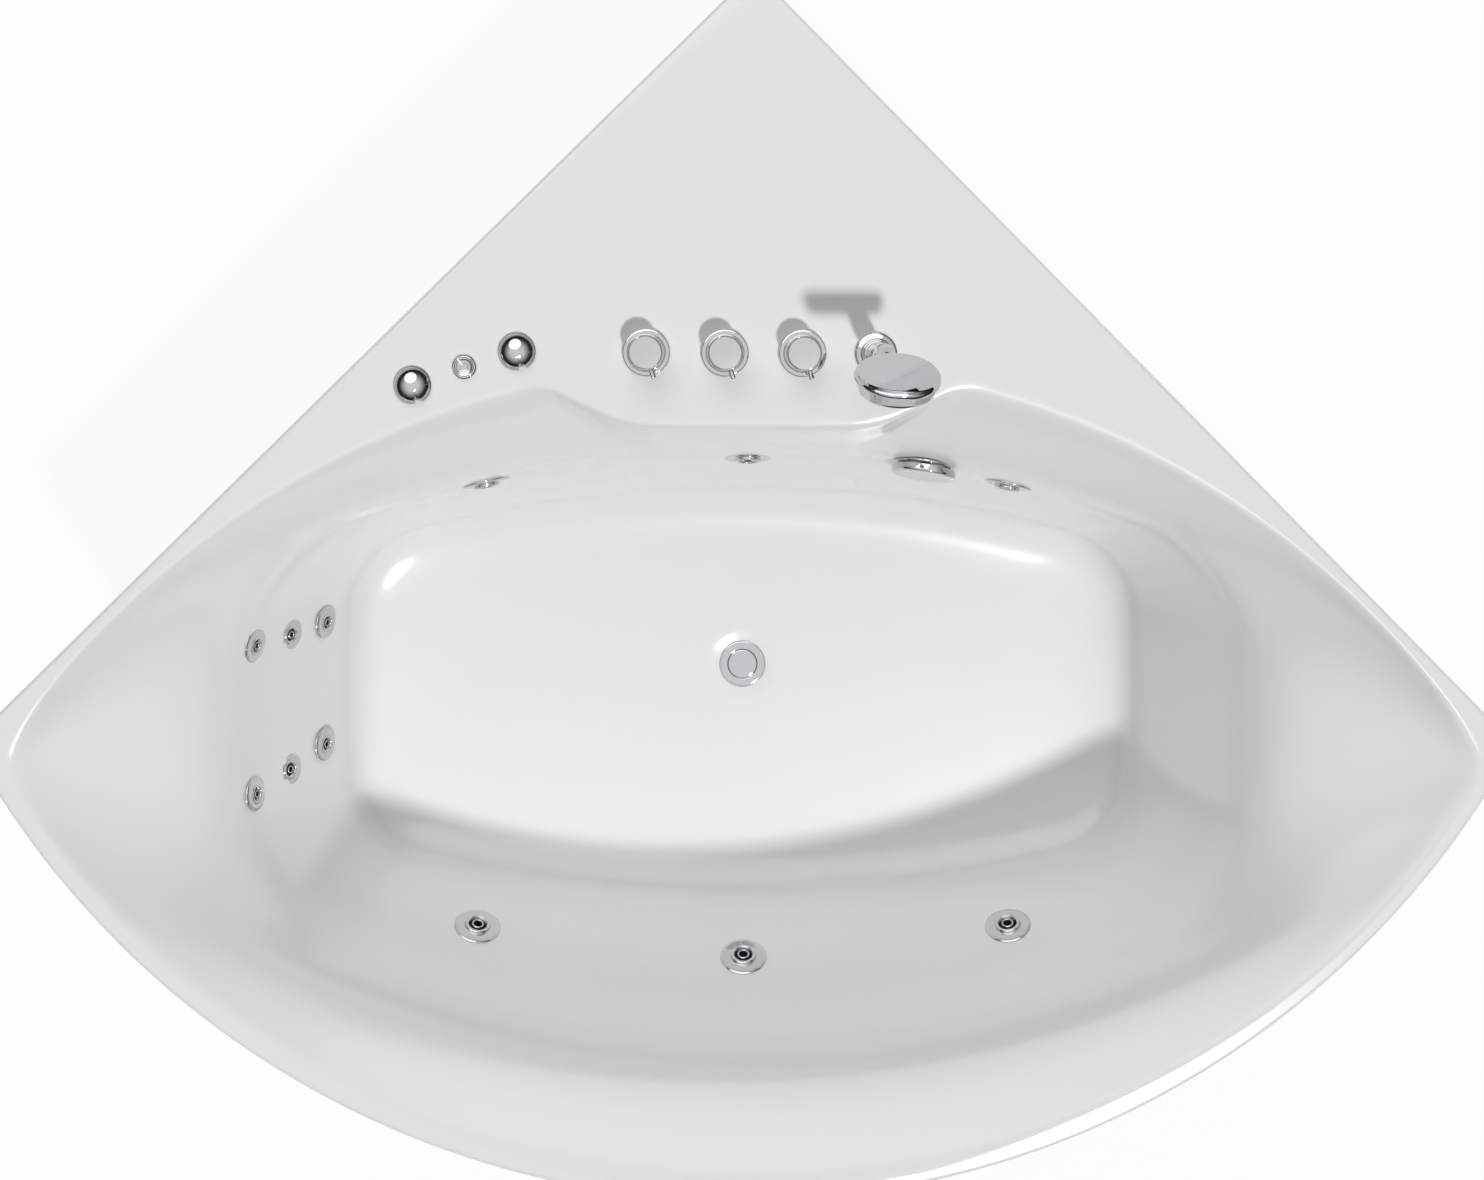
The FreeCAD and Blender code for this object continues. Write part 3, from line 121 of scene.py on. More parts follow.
def at(x, b, z=0.0):
    """A plan position and a height as a point of the scene."""
    return Vector((x, MIDDLE_B - b, z))


# ---- camera, light and floor -------------------------------------------------------------------
CAMERA_X, CAMERA_B, CAMERA_Z = -0.060, 0.486, 2.700
CAMERA_LENS, CAMERA_SENSOR = 39.95, 36.0                # mm
CAMERA_SHIFT = (0.0007, -0.162)
CAMERA_TURN = (0.0, -1.24, 0.35)                        # degrees
CAMERA_FAR = 50.0
# Strength, spread in degrees and where it comes from.
LAMPS = {
    "key": (1.75, 4.5, (0.226, -0.450, 0.864)),
    "fill": (1.05, 60.0, (-0.20, 0.66, 0.724)),
}
# The room's greys from the horizon, 0, up to straight above, 1.
ROOM_LIGHT = [(0.0, 0.30), (0.95, 0.03)]
ROOM_MIRRORED = [(0.0, 0.02), (0.32, 0.04), (0.55, 0.34), (0.85, 0.84), (1.0, 0.90)]
FLOOR_GREY = 0.9
FLOOR_WHITE = 0.93          # share of plain white that the camera sees; the rest shows the object's shadow
FLOOR_HALF = 12.0


def camera():
    """The photograph's viewpoint, above the bath and turned a little."""
    data = bpy.data.cameras.new("photo_camera")
    data.lens = CAMERA_LENS
    data.sensor_width = CAMERA_SENSOR
    data.shift_x, data.shift_y = CAMERA_SHIFT
    data.clip_end = CAMERA_FAR
    obj = bpy.data.objects.new("photo_camera", data)
    obj.location = at(CAMERA_X, CAMERA_B, CAMERA_Z)
    obj.rotation_euler = [math.radians(a) for a in CAMERA_TURN]
    bpy.context.scene.collection.objects.link(obj)
    bpy.context.scene.camera = obj


def lights():
    """A hard key from over the front edge and a wide soft fill from the back."""
    for name, (strength, spread, source) in LAMPS.items():
        sun = bpy.data.lights.new(name, "SUN")
        sun.energy = strength
        sun.angle = math.radians(spread)
        obj = bpy.data.objects.new(name, sun)
        obj.rotation_euler = Vector(source).to_track_quat("Z", "Y").to_euler()
        bpy.context.scene.collection.objects.link(obj)


def grey_ramp(tree, stops):
    """A ramp of greys from (position, grey) stops."""
    ramp = tree.nodes.new("ShaderNodeValToRGB")
    elements = ramp.color_ramp.elements
    while len(elements) < len(stops):
        elements.new(0.5)
    for element, (position, grey) in zip(elements, stops):
        element.position = position
        element.color = (grey, grey, grey, 1)
    return ramp


def world():
    """A plain dim room with a bright ceiling for the metal to mirror, and white where the camera looks."""
    made = bpy.data.worlds.new("studio")
    bpy.context.scene.world = made
    made.use_nodes = True
    tree = made.node_tree
    tree.nodes.clear()
    new, link = tree.nodes.new, tree.links.new
    place = new("ShaderNodeTexCoord")
    parts = new("ShaderNodeSeparateXYZ")
    light, mirrored = grey_ramp(tree, ROOM_LIGHT), grey_ramp(tree, ROOM_MIRRORED)
    link(place.outputs["Generated"], parts.inputs[0])
    for ramp in (light, mirrored):
        link(parts.outputs["Z"], ramp.inputs[0])
    path = new("ShaderNodeLightPath")
    shades = []
    for ramp in (light, mirrored, None):
        shade = new("ShaderNodeBackground")
        shade.inputs["Color"].default_value = (1, 1, 1, 1)
        if ramp:
            link(ramp.outputs["Color"], shade.inputs["Color"])
        shades.append(shade)
    in_metal, in_sight = new("ShaderNodeMixShader"), new("ShaderNodeMixShader")
    link(path.outputs["Is Glossy Ray"], in_metal.inputs[0])
    link(shades[0].outputs[0], in_metal.inputs[1])
    link(shades[1].outputs[0], in_metal.inputs[2])
    link(path.outputs["Is Camera Ray"], in_sight.inputs[0])
    link(in_metal.outputs[0], in_sight.inputs[1])
    link(shades[2].outputs[0], in_sight.inputs[2])
    link(in_sight.outputs[0], new("ShaderNodeOutputWorld").inputs[0])


# ---- materials ---------------------------------------------------------------------------------
COAT_ROUGHNESS = 0.08
CLOUD_DETAIL, FINE_DETAIL = 4.0, 3.0
CLOUD_LOW, CLOUD_HIGH = 0.3, 0.7        # where the cloud noise mostly lies
BUMP_HEIGHT = 0.0005


def finish(name, colour, metal=0.0, rough=(0.2, 0.3), mottle=0.0, grain=80.0, bump=0.0, bump_scale=300.0,
           coat=0.0):
    """A procedural finish: roughness that wanders, a little mottling of the colour and a fine bump."""
    made = bpy.data.materials.new(name)
    made.use_nodes = True
    tree = made.node_tree
    new, link = tree.nodes.new, tree.links.new
    shader = tree.nodes["Principled BSDF"]
    shader.inputs["Metallic"].default_value = metal
    shader.inputs["Coat Weight"].default_value = coat
    shader.inputs["Coat Roughness"].default_value = COAT_ROUGHNESS
    place = new("ShaderNodeTexCoord")
    cloud = new("ShaderNodeTexNoise")
    cloud.inputs["Scale"].default_value = grain
    cloud.inputs["Detail"].default_value = CLOUD_DETAIL
    link(place.outputs["Object"], cloud.inputs["Vector"])
    spread = new("ShaderNodeMapRange")
    spread.inputs["From Min"].default_value = CLOUD_LOW
    spread.inputs["From Max"].default_value = CLOUD_HIGH
    spread.inputs["To Min"].default_value = rough[0]
    spread.inputs["To Max"].default_value = rough[1]
    link(cloud.outputs["Fac"], spread.inputs["Value"])
    link(spread.outputs["Result"], shader.inputs["Roughness"])
    tint = new("ShaderNodeMix")
    tint.data_type = "RGBA"
    tint.inputs["A"].default_value = (*[c * (1 - mottle) for c in colour], 1)
    tint.inputs["B"].default_value = (*colour, 1)
    link(cloud.outputs["Fac"], tint.inputs["Factor"])
    link(tint.outputs["Result"], shader.inputs["Base Color"])
    if bump:
        fine = new("ShaderNodeTexNoise")
        fine.inputs["Scale"].default_value = bump_scale
        fine.inputs["Detail"].default_value = FINE_DETAIL
        rise = new("ShaderNodeBump")
        rise.inputs["Strength"].default_value = bump
        rise.inputs["Distance"].default_value = BUMP_HEIGHT
        link(place.outputs["Object"], fine.inputs["Vector"])
        link(fine.outputs["Fac"], rise.inputs["Height"])
        link(rise.outputs["Normal"], shader.inputs["Normal"])
    return made


MATERIALS = {
    "acrylic": finish("acrylic", (0.885, 0.885, 0.88), rough=(0.16, 0.22), mottle=0.008, grain=3.0,
                      bump=0.02, bump_scale=40.0, coat=0.35),
    "chrome": finish("chrome", (0.62, 0.63, 0.64), metal=1.0, rough=(0.03, 0.07), mottle=0.03, grain=60.0),
    "knob_caps": finish("knob_caps", (0.56, 0.56, 0.56), metal=0.3, rough=(0.38, 0.42), mottle=0.01,
                        grain=120.0, bump=0.01, bump_scale=900.0),
    "brass": finish("brass", (0.72, 0.55, 0.26), metal=1.0, rough=(0.22, 0.40), mottle=0.15, grain=90.0,
                    bump=0.1),
    "grey_plastic": finish("grey_plastic", (0.42, 0.43, 0.44), rough=(0.35, 0.5), mottle=0.05, bump=0.1),
    "white_plastic": finish("white_plastic", (0.78, 0.78, 0.76), rough=(0.35, 0.5), mottle=0.05, bump=0.1),
    "black_plastic": finish("black_plastic", (0.022, 0.022, 0.023), rough=(0.4, 0.6), mottle=0.2, bump=0.2),
    "rubber": finish("rubber", (0.03, 0.03, 0.03), rough=(0.6, 0.8), mottle=0.2, bump=0.3),
    "frame_steel": finish("frame_steel", (0.50, 0.52, 0.53), metal=0.8, rough=(0.32, 0.55), mottle=0.35,
                          grain=45.0, bump=0.1),
    "wood_board": finish("wood_board", (0.55, 0.40, 0.24), rough=(0.6, 0.8), mottle=0.55, grain=160.0,
                         bump=0.5, bump_scale=220.0),
    "motor_paint": finish("motor_paint", (0.035, 0.05, 0.075), rough=(0.3, 0.45), mottle=0.2, bump=0.2),
    "steel": finish("steel", (0.55, 0.55, 0.56), metal=1.0, rough=(0.2, 0.35), mottle=0.1, bump=0.1),
}


# ---- mesh tools --------------------------------------------------------------------------------
MM = 0.001
TINY = 1e-6
CUT_SHARE = 0.4             # of an edge, at most, that the rounding at one of its ends takes


def piece(name, shape, material, body="tub", covers=(), sharp=35.0):
    """A mesh piece that rides on a body and stands for CAD nodes."""
    points, faces = shape
    mesh = bpy.data.meshes.new(name)
    mesh.from_pydata([tuple(p) for p in points], [], [tuple(f) for f in faces])
    mesh.update()
    mesh.shade_smooth()
    mesh.set_sharp_from_angle(angle=math.radians(sharp))
    mesh.materials.append(MATERIALS[material])
    obj = bpy.data.objects.new(name, mesh)
    bpy.context.scene.collection.objects.link(obj)
    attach(obj, body)
    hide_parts(*covers)
    return obj


def mm(profile):
    """An outline in millimetres as one in metres."""
    return [(r * MM, z * MM) for r, z in profile]


def rounded(profile, radius, steps=4):
    """A closed (r, z) outline with its corners off the axis rounded."""
    out = []
    count = len(profile)
    for k in range(count):
        before, here, after = (np.array(profile[(k + d) % count], float) for d in (-1, 0, 1))
        back, ahead = before - here, after - here
        back_run, ahead_run = np.linalg.norm(back), np.linalg.norm(ahead)
        if here[0] < TINY or min(back_run, ahead_run) < TINY:
            out.append(tuple(here))
            continue
        cut = min(radius, CUT_SHARE * back_run, CUT_SHARE * ahead_run)
        first, last = here + back / back_run * cut, here + ahead / ahead_run * cut
        for s in np.linspace(0, 1, steps + 1):
            out.append(tuple((1 - s) ** 2 * first + 2 * s * (1 - s) * here + s ** 2 * last))
    return out


def lathe(profile, turns=96):
    """Points and faces of a closed outline turned about Z."""
    count = len(profile)
    points = []
    for k in range(turns):
        a = 2 * math.pi * k / turns
        points += [Vector((r * math.cos(a), r * math.sin(a), z)) for r, z in profile]
    faces = []
    for k in range(turns):
        here, there = k * count, (k + 1) % turns * count
        for i in range(count):
            j = (i + 1) % count
            on_axis_i, on_axis_j = profile[i][0] < TINY, profile[j][0] < TINY
            if on_axis_i and on_axis_j:
                continue
            if on_axis_i:
                faces.append((i, there + j, here + j))
            elif on_axis_j:
                faces.append((here + i, there + i, j))
            else:
                faces.append((here + i, there + i, there + j, here + j))
    return points, faces


def turned(outline, edge, turns=96):
    """A fitting turned from an outline in millimetres, its edges rounded by a radius in millimetres."""
    return lathe(rounded(mm(outline), edge * MM), turns)


def placed(shape, place, axis=(0, 0, 1), spin=0.0):
    """Points and faces moved to a place, +Z turned to an axis, after a spin about +Z."""
    points, faces = shape
    axis = Vector(axis).normalized()
    move = Vector((0, 0, 1)).rotation_difference(axis).to_matrix() @ Matrix.Rotation(spin, 3, "Z")
    return [move @ p + Vector(place) for p in points], faces


def joined(*shapes):
    """Several shapes' points and faces as one shape."""
    points, faces = [], []
    for more_points, more_faces in shapes:
        base = len(points)
        points += list(more_points)
        faces += [tuple(base + i for i in f) for f in more_faces]
    return points, faces


def islands(node):
    """The separate solids of a node's mesh, each as an array of its distinct points."""
    mesh = nodes[node].data
    co = np.array([v.co for v in mesh.vertices])
    keys, inverse = np.unique(np.round(co, 6), axis=0, return_inverse=True)
    inverse = inverse.reshape(-1)
    parent = list(range(len(keys)))

    def root(i):
        while parent[i] != i:
            parent[i] = parent[parent[i]]
            i = parent[i]
        return i

    for polygon in mesh.polygons:
        first = root(inverse[polygon.vertices[0]])
        for v in polygon.vertices[1:]:
            parent[root(inverse[v])] = first
    groups = {}
    for i in range(len(keys)):
        groups.setdefault(root(i), []).append(i)
    return [keys[g] for g in groups.values()]


# ---- tub shell ---------------------------------------------------------------------------------
REACH_FAR = 1.6             # past the rim from the drain, in every direction
REACH_HALVINGS = 40
EVEN_TURNS = 1200
CLOSE_SPAN, CLOSE_TURNS = 0.04, 49      # extra rays each side of a rim corner's direction, in radians
ARC_SHARE = 0.99            # of its radius, as far out as an edge's arc is followed
PORT_DEPTH = 0.03
OVERFLOW_HOLE = 0.030


def rounded_max(one, two, radius):
    """The larger of two distance fields, with the edge between them rounded."""
    over_one = np.maximum(radius + one, 0.0)
    over_two = np.maximum(radius + two, 0.0)
    return np.minimum(-radius, np.maximum(one, two)) + np.hypot(over_one, over_two)


def reach(turns, outside):
    """How far out from the drain each ray stays inside, for a field that grows outwards."""
    low, high = np.zeros_like(turns), np.full_like(turns, REACH_FAR)
    for _ in range(REACH_HALVINGS):
        middle = (low + high) / 2
        out = outside(middle * np.cos(turns), DRAIN_B + middle * np.sin(turns)) > 0
        high = np.where(out, middle, high)
        low = np.where(out, low, middle)
    return low


def rim_reach(turns, inset):
    """Reach to the rim's outline moved in by inset, its far corners and its apex rounded."""
    fillet = max(CORNER_ROUND - inset, LEAST_ROUND)
    apex = (inset + fillet) * math.sqrt(2)
    total = apex + FRONT_CENTRE_B
    radius = FRONT_RADIUS - inset - fillet
    corner_b = (total + math.sqrt(total ** 2 - 2 * (apex ** 2 + FRONT_CENTRE_B ** 2 - radius ** 2))) / 2
    corner_x = corner_b - apex
    run_x, run_b = (corner_b - FRONT_CENTRE_B) / radius, -corner_x / radius

    def outside(x, b):
        sides = rounded_max((-x - b) / math.sqrt(2) + inset, (x - b) / math.sqrt(2) + inset,
                            max(APEX_ROUND - inset, LEAST_ROUND))
        front = np.hypot(x, b - FRONT_CENTRE_B) - FRONT_RADIUS + inset
        past_x, past_b = np.abs(x) - corner_x, b - corner_b
        corner = (past_x + past_b > 0) & (past_x * run_x + past_b * run_b > 0)
        return np.where(corner, np.hypot(past_x, past_b) - fillet, np.maximum(sides, front))
    return reach(turns, outside)


def station(share):
    """The basin's outline values at a share of its depth, by a smooth curve through the stations."""
    known, values = STATIONS[:, 0], STATIONS[:, 1:]
    steps = np.diff(known)[:, None]
    slopes = np.diff(values, axis=0) / steps
    tangent = np.vstack([slopes[:1], (slopes[:-1] * steps[1:] + slopes[1:] * steps[:-1])
                         / (steps[1:] + steps[:-1]), slopes[-1:]])
    k = int(np.clip(np.searchsorted(known, share) - 1, 0, len(known) - 2))
    s = (share - known[k]) / steps[k, 0]
    run = steps[k, 0]
    return ((1 + 2 * s) * (1 - s) ** 2 * values[k] + s * (1 - s) ** 2 * run * tangent[k]
            + s * s * (3 - 2 * s) * values[k + 1] + s * s * (s - 1) * run * tangent[k + 1])


def basin_reach(turns, share, outset=0.0):
    """Reach to the basin's wall at a share of its depth: sides, back and front, less the tap tongue."""
    side_in, side_r, back_b, back_r, front_in, front_r, corner = station(share)
    drop = BASIN_DEPTH * share
    side_b = SIDE_CENTRE_RIM_B + (SIDE_CENTRE_FLOOR_B - SIDE_CENTRE_RIM_B) * share

    def outside(x, b):
        near = np.minimum(np.abs(x), ARC_SHARE * min(back_r, front_r))
        back = back_b + back_r - np.sqrt(back_r ** 2 - near ** 2) - b - outset
        front = b - (FRONT_B - front_in - front_r + np.sqrt(front_r ** 2 - near ** 2)) - outset
        side = np.abs(x) - (HALF_WIDTH - side_in - (b - side_b) ** 2 / (2 * side_r)) - outset
        bowl = rounded_max(rounded_max(side, back, corner), front, corner)
        clear = b - (TONGUE_FRONT_B + TONGUE_SLOPE * drop) + outset
        run = np.array([TONGUE_ROOT_HALF - TONGUE_FRONT_HALF, TONGUE_ROOT_B - TONGUE_FRONT_B])
        across = np.array([-run[1], run[0]]) / np.linalg.norm(run)
        slant = ((np.abs(x) - TONGUE_FRONT_HALF) * across[0]
                 + (b - TONGUE_FRONT_B - TONGUE_SLOPE * drop) * across[1]) + outset
        ledge = rounded_max(clear, slant, TONGUE_CORNER)
        return rounded_max(bowl, -ledge, TONGUE_BLEND)
    return reach(turns, outside)


def bezier(first, corner, last, steps):
    """Rows on the curve from one row to another that bends towards a corner row."""
    return [tuple((1 - s) ** 2 * np.array(a) + 2 * s * (1 - s) * np.array(b) + s * s * np.array(c)
                  for a, b, c in zip(first, corner, last)) for s in np.linspace(0, 1, steps)]


def shell_turns():
    """Ray directions, closer together at the rim's three corners."""
    even = np.linspace(0, 2 * math.pi, EVEN_TURNS, endpoint=False)
    corners = [math.atan2(HALF_WIDTH - DRAIN_B, s * HALF_WIDTH) for s in (1, -1)] + [-math.pi / 2]
    close = np.linspace(-CLOSE_SPAN, CLOSE_SPAN, CLOSE_TURNS)
    extra = [(c + close) % (2 * math.pi) for c in corners]
    return np.unique(np.round(np.concatenate([even, *extra]), 7))


def shell_rows(turns):
    """Rows of (reach, z) from the lip's inner foot over the deck and down to the drain, and back under."""
    one, top, lip = np.ones_like(turns), RIM_HEIGHT, RIM_HEIGHT - LIP_DEPTH

    def row(r, z):
        return r * one, z * one

    rim = rim_reach(turns, 0.0)
    rows = [row(rim_reach(turns, SHEET), lip)]
    rows += bezier(row(rim_reach(turns, LIP_ROUND), lip), row(rim, lip), row(rim, lip + LIP_ROUND), 4)
    rows.append(row(rim, top - LIP_DEPTH / 2))
    for a in np.linspace(0, math.pi / 2, 9):
        edge = rim_reach(turns, EDGE_ROUND * (1 - math.cos(a)))
        rows.append(row(edge, top - EDGE_ROUND * (1 - math.sin(a))))
    mouth = basin_reach(turns, 0.0)
    deck_out, deck_in = rows[-1][0], mouth + ROLL
    for s in np.linspace(0, 1, 14)[1:-1]:
        rows.append(row(deck_out * (1 - s) + deck_in * s, top))
    deck_end = len(rows) - 1
    walls = [row(basin_reach(turns, s), top - BASIN_DEPTH * s) for s in WALL_SHARES]
    rows += bezier(row(deck_in, top), row(mouth, top), walls[0], 8)
    rows += walls[1:]
    for s in np.linspace(0, 1, 22)[1:]:
        ease = (1 - s) ** FLOOR_EASE
        rows.append(row(walls[-1][0] * ease + DISH_RADIUS * (1 - ease), FLOOR_Z))
    rows = soften(rows, first=deck_end)
    dish, under = FLOOR_Z - DISH_DROP, FLOOR_Z - DISH_DROP - SHEET
    rows += [row(DRAIN_FLANGE + DRAIN_GAP, dish), row(WASTE_HOLE, dish)]
    rows += [row(WASTE_HOLE, under), row(DISH_RADIUS + DISH_WALL, under)]
    rows += [row(basin_reach(turns, s, SHEET), top - BASIN_DEPTH * s - SHEET) for s in UNDER_SHARES]
    rows += [row(basin_reach(turns, 0.0, SHEET), top - SHEET), row(rim_reach(turns, SHEET), top - SHEET)]
    return rows


def soften(rows, first, rounds=10):
    """Evens out the creases between neighbouring rows, from row first on."""
    r = np.array([x for x, _ in rows])
    z = np.array([y for _, y in rows])
    for _ in range(rounds):
        r[first + 1:-1] = (r[first:-2] + 2 * r[first + 1:-1] + r[first + 2:]) / 4
        z[first + 1:-1] = (z[first:-2] + 2 * z[first + 1:-1] + z[first + 2:]) / 4
    return list(zip(r, z))


def tub_shell(ports):
    """The moulding, with a hole behind each wall fitting's flange."""
    turns = shell_turns()
    rows = shell_rows(turns)
    grid = np.array([np.stack([r * np.cos(turns), MIDDLE_B - DRAIN_B - r * np.sin(turns), z], axis=1)
                     for r, z in rows])
    count, wide = grid.shape[:2]
    i, j = np.meshgrid(np.arange(count), np.arange(wide), indexing="ij")
    down, across = (i + 1) % count, (j + 1) % wide
    faces = np.stack([i * wide + j, i * wide + across, down * wide + across, down * wide + j], axis=-1)
    faces = faces.reshape(-1, 4)
    points = grid.reshape(-1, 3)
    middles = points[faces].mean(axis=1)
    keep = np.ones(len(faces), bool)
    for seat, axis, hole in ports:
        from_seat = middles - np.array(seat)
        along = from_seat @ np.array(axis)
        away = np.linalg.norm(from_seat - np.outer(along, axis), axis=1)
        keep &= ~((away < hole) & (np.abs(along) < PORT_DEPTH))
    piece("tub_shell_moulding", (points, faces[keep]), "acrylic", covers=["tub_shell"], sharp=70)


# ---- wall fittings -----------------------------------------------------------------------------
BATH_MIDDLE_Z = 0.45
FLANGE = 2.2                # thickness of a wall fitting's cap flange, mm
LARGE_FROM = 0.028          # a jet ring wider than this radius is a large one
# Sizes of a jet, mm, but for its hole in the wall.
JETS = {
    "large": dict(flange=33.0, boss=18.0, rise=8.0, ball=12.0, nose=8.5, nozzle=6.0, sleeve=16.3, hole=0.024),
    "small": dict(flange=23.5, boss=13.0, rise=5.5, ball=8.0, nose=5.4, nozzle=3.6, sleeve=12.3, hole=0.016),
}


def jet_ring_shape(size):
    """The ring's outline: a flat cap with a raised collar round its socket."""
    ball, flange, boss, rise = size["ball"], size["flange"], size["boss"], size["rise"]
    lip = math.sqrt(0.75) * ball + 0.2
    step = min(5.5, rise - 1.2)
    profile = [(ball + 0.2, -ball / 2), (size["sleeve"], -ball / 2), (size["sleeve"], FLANGE),
               (flange - 3.8, FLANGE), (flange - 3.8, 0), (flange, 0), (flange, FLANGE),
               (flange - 1.6, 3.3), (flange - 4, 3.9), (boss + 1.6, 3.9), (boss + 0.5, 4.2), (boss, step),
               (boss, rise - 1), (boss - 1, rise), (ball + 2.2, rise), (ball + 1.3, rise - 0.6), (lip, 0.0),
               (lip + 0.9, -ball / 4)]
    return turned(profile, edge=0.8)


def jet_ball_shape(size):
    """The nozzle's ball and bore, about the ball's centre."""
    ball, nose, bore = size["ball"], size["nose"], size["nozzle"]
    tip = size["rise"] - 0.5 + ball / 2
    arc = [(ball * math.sin(a), ball * math.cos(a))
           for a in np.linspace(math.asin(nose / ball), math.pi - math.asin(bore / ball), 16)]
    profile = [(bore, tip - 1.2), (nose - 1.0, tip - 1.2), (nose - 1.0, arc[0][1] + 0.3), *arc,
               (bore, arc[-1][1])]
    return lathe(mm(profile), 72)


def jet_nose_shape(size):
    """The bright sleeve round the nozzle's tip."""
    ball, nose, bore = size["ball"], size["nose"], size["nozzle"]
    tip = size["rise"] - 0.5 + ball / 2
    low = math.sqrt(ball ** 2 - nose ** 2) + 0.2
    profile = [(bore + 0.1, tip - 1.3), (bore + 0.2, tip - 0.5), (bore + 0.9, tip), (nose - 0.7, tip),
               (nose, tip - 0.7), (nose, low), (nose - 0.9, low), (nose - 0.9, tip - 1.3)]
    return turned(profile, edge=0.3, turns=72)


def ring_places():
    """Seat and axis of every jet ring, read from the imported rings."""
    bath_middle = at(0.0, DRAIN_B, BATH_MIDDLE_Z)
    found = []
    for cloud in islands("jet_rings"):
        centre = cloud.mean(axis=0)
        spread = np.linalg.svd(cloud - centre, full_matrices=False)[2]
        axis = Vector(spread[2])
        if axis.dot(bath_middle - Vector(centre)) < 0:
            axis = -axis
        away = (cloud - centre) @ np.array(axis)
        across = np.linalg.norm(cloud - centre - np.outer(away, np.array(axis)), axis=1).max()
        kind = "large" if across > LARGE_FROM else "small"
        top = Vector(centre) + axis * float(away.max())
        found.append((kind, top - axis * JETS[kind]["rise"] * MM, axis))
    return found


def jets(places):
    """Twelve rings, six aimed nozzles that ride on their joints and six small fixed ones."""
    piece("jet_rings_turned", joined(*[placed(jet_ring_shape(JETS[kind]), seat, axis)
                                       for kind, seat, axis in places]), "chrome", covers=["jet_rings"])
    fixed_balls, fixed_noses = [], []
    for kind, seat, axis in places:
        centre = seat - axis * JETS[kind]["ball"] / 2 * MM
        ball = placed(jet_ball_shape(JETS[kind]), centre, axis)
        nose = placed(jet_nose_shape(JETS[kind]), centre, axis)
        if kind == "small":
            fixed_balls.append(ball)
            fixed_noses.append(nose)
            continue
        joint = min((j for j in joints.values() if j["child"].startswith("jet_")),
                    key=lambda j: (Vector(j["pos_m"]) - centre).length)
        node = joint["child"].replace("jet_", "jet_nozzle_", 1)
        piece(f"{node}_ball", ball, "black_plastic", body=joint["child"], covers=[node])
        piece(f"{node}_nose", nose, "chrome", body=joint["child"], covers=[node])
    piece("side_jet_balls", joined(*fixed_balls), "black_plastic", covers=["side_jet_nozzles"])
    piece("side_jet_noses", joined(*fixed_noses), "chrome", covers=["side_jet_nozzles"])


OVERFLOW_BORE = 22.0
OVERFLOW_PLATE = 38.0
OVERFLOW_KNOB = 44.0
KNOB_STANDS = 12.0          # the knob's back from the wall


def overflow_fittings():
    """The overflow's plate on the wall and the turned knob before it."""
    joint = joints["overflow_turn"]
    seat, axis = Vector(joint["pos_m"]), Vector(joint["axis"])
    plate = turned([(OVERFLOW_BORE, FLANGE), (35.9, FLANGE), (35.9, 0), (OVERFLOW_PLATE, 0),
                    (OVERFLOW_PLATE, 2.6), (36.6, 4), (23.5, 4), (OVERFLOW_BORE, 3.2)], edge=0.8)
    piece("overflow_plate_turned", placed(plate, seat, axis), "chrome", covers=["overflow_plate"])
    knob = turned([(0, -22), (5, -22), (5, KNOB_STANDS), (40.8, KNOB_STANDS), (40.8, 7), (OVERFLOW_KNOB, 7),
                   (OVERFLOW_KNOB, 14.4), (43.2, 16.6), (41, 17.9), (32, 18), (12, 17.2), (0, 17)], edge=1.0)
    piece("overflow_knob_turned", placed(knob, seat, axis), "chrome", body=joint["child"],
          covers=["overflow_knob"])


# ---- waste -------------------------------------------------------------------------------------
WASTE_BORE, WASTE_THREAD, WASTE_LOW = 20.5, 24.0, -40.0
WASTE_FLANGE = 35.5
PLUG_SEAT, PLUG_RADIUS = 22.5, 22.0
PLUG_STEM, PLUG_LOW = 4.0, -66.0


def waste_fittings():
    """The drain's flange in its dish and the plug that lifts out of it."""
    joint = joints["plug_lift"]
    seat = at(0.0, DRAIN_B, FLOOR_Z - DISH_DROP)
    flange = turned([(WASTE_BORE, WASTE_LOW), (WASTE_THREAD, WASTE_LOW), (WASTE_THREAD, 0), (WASTE_FLANGE, 0),
                     (WASTE_FLANGE, 1.1), (34.2, 2.1), (32, 2.5), (28, 2.3), (23.4, 1.9), (PLUG_SEAT, 1.3),
                     (PLUG_SEAT, -1.5), (WASTE_BORE, -1.5)], edge=0.6)
    piece("drain_flange_turned", placed(flange, seat), "chrome", covers=["drain_flange"])
    plug = turned([(0, PLUG_LOW), (PLUG_STEM, PLUG_LOW), (PLUG_STEM, -1.2), (21.2, -1.2), (PLUG_RADIUS, -0.4),
                   (PLUG_RADIUS, 1.9), (21.2, 2.7), (19.6, 3), (8, 2.75), (0, 2.7)], edge=0.6)
    piece("drain_plug_turned", placed(plug, seat), "chrome", body=joint["child"], covers=["drain_plug"])


# ---- taps --------------------------------------------------------------------------------------
TAPS = ("hot", "cold", "diverter")
TAP_BORE = 11.3
TAP_FLANGE = 30.5
KNOB_BORE = 5.1
KNOB_RADIUS = 22.0
KNOB_SKIRT = 18.5           # inside of the knob's open foot
KNOB_LOW = 8.3
KNOB_TOP = 45.3
CAP_RADIUS = 20.1
LEVER_RADIUS = 3.6
LEVER_Z = 32.3
LEVER_ANGLE = math.radians(-72.0)


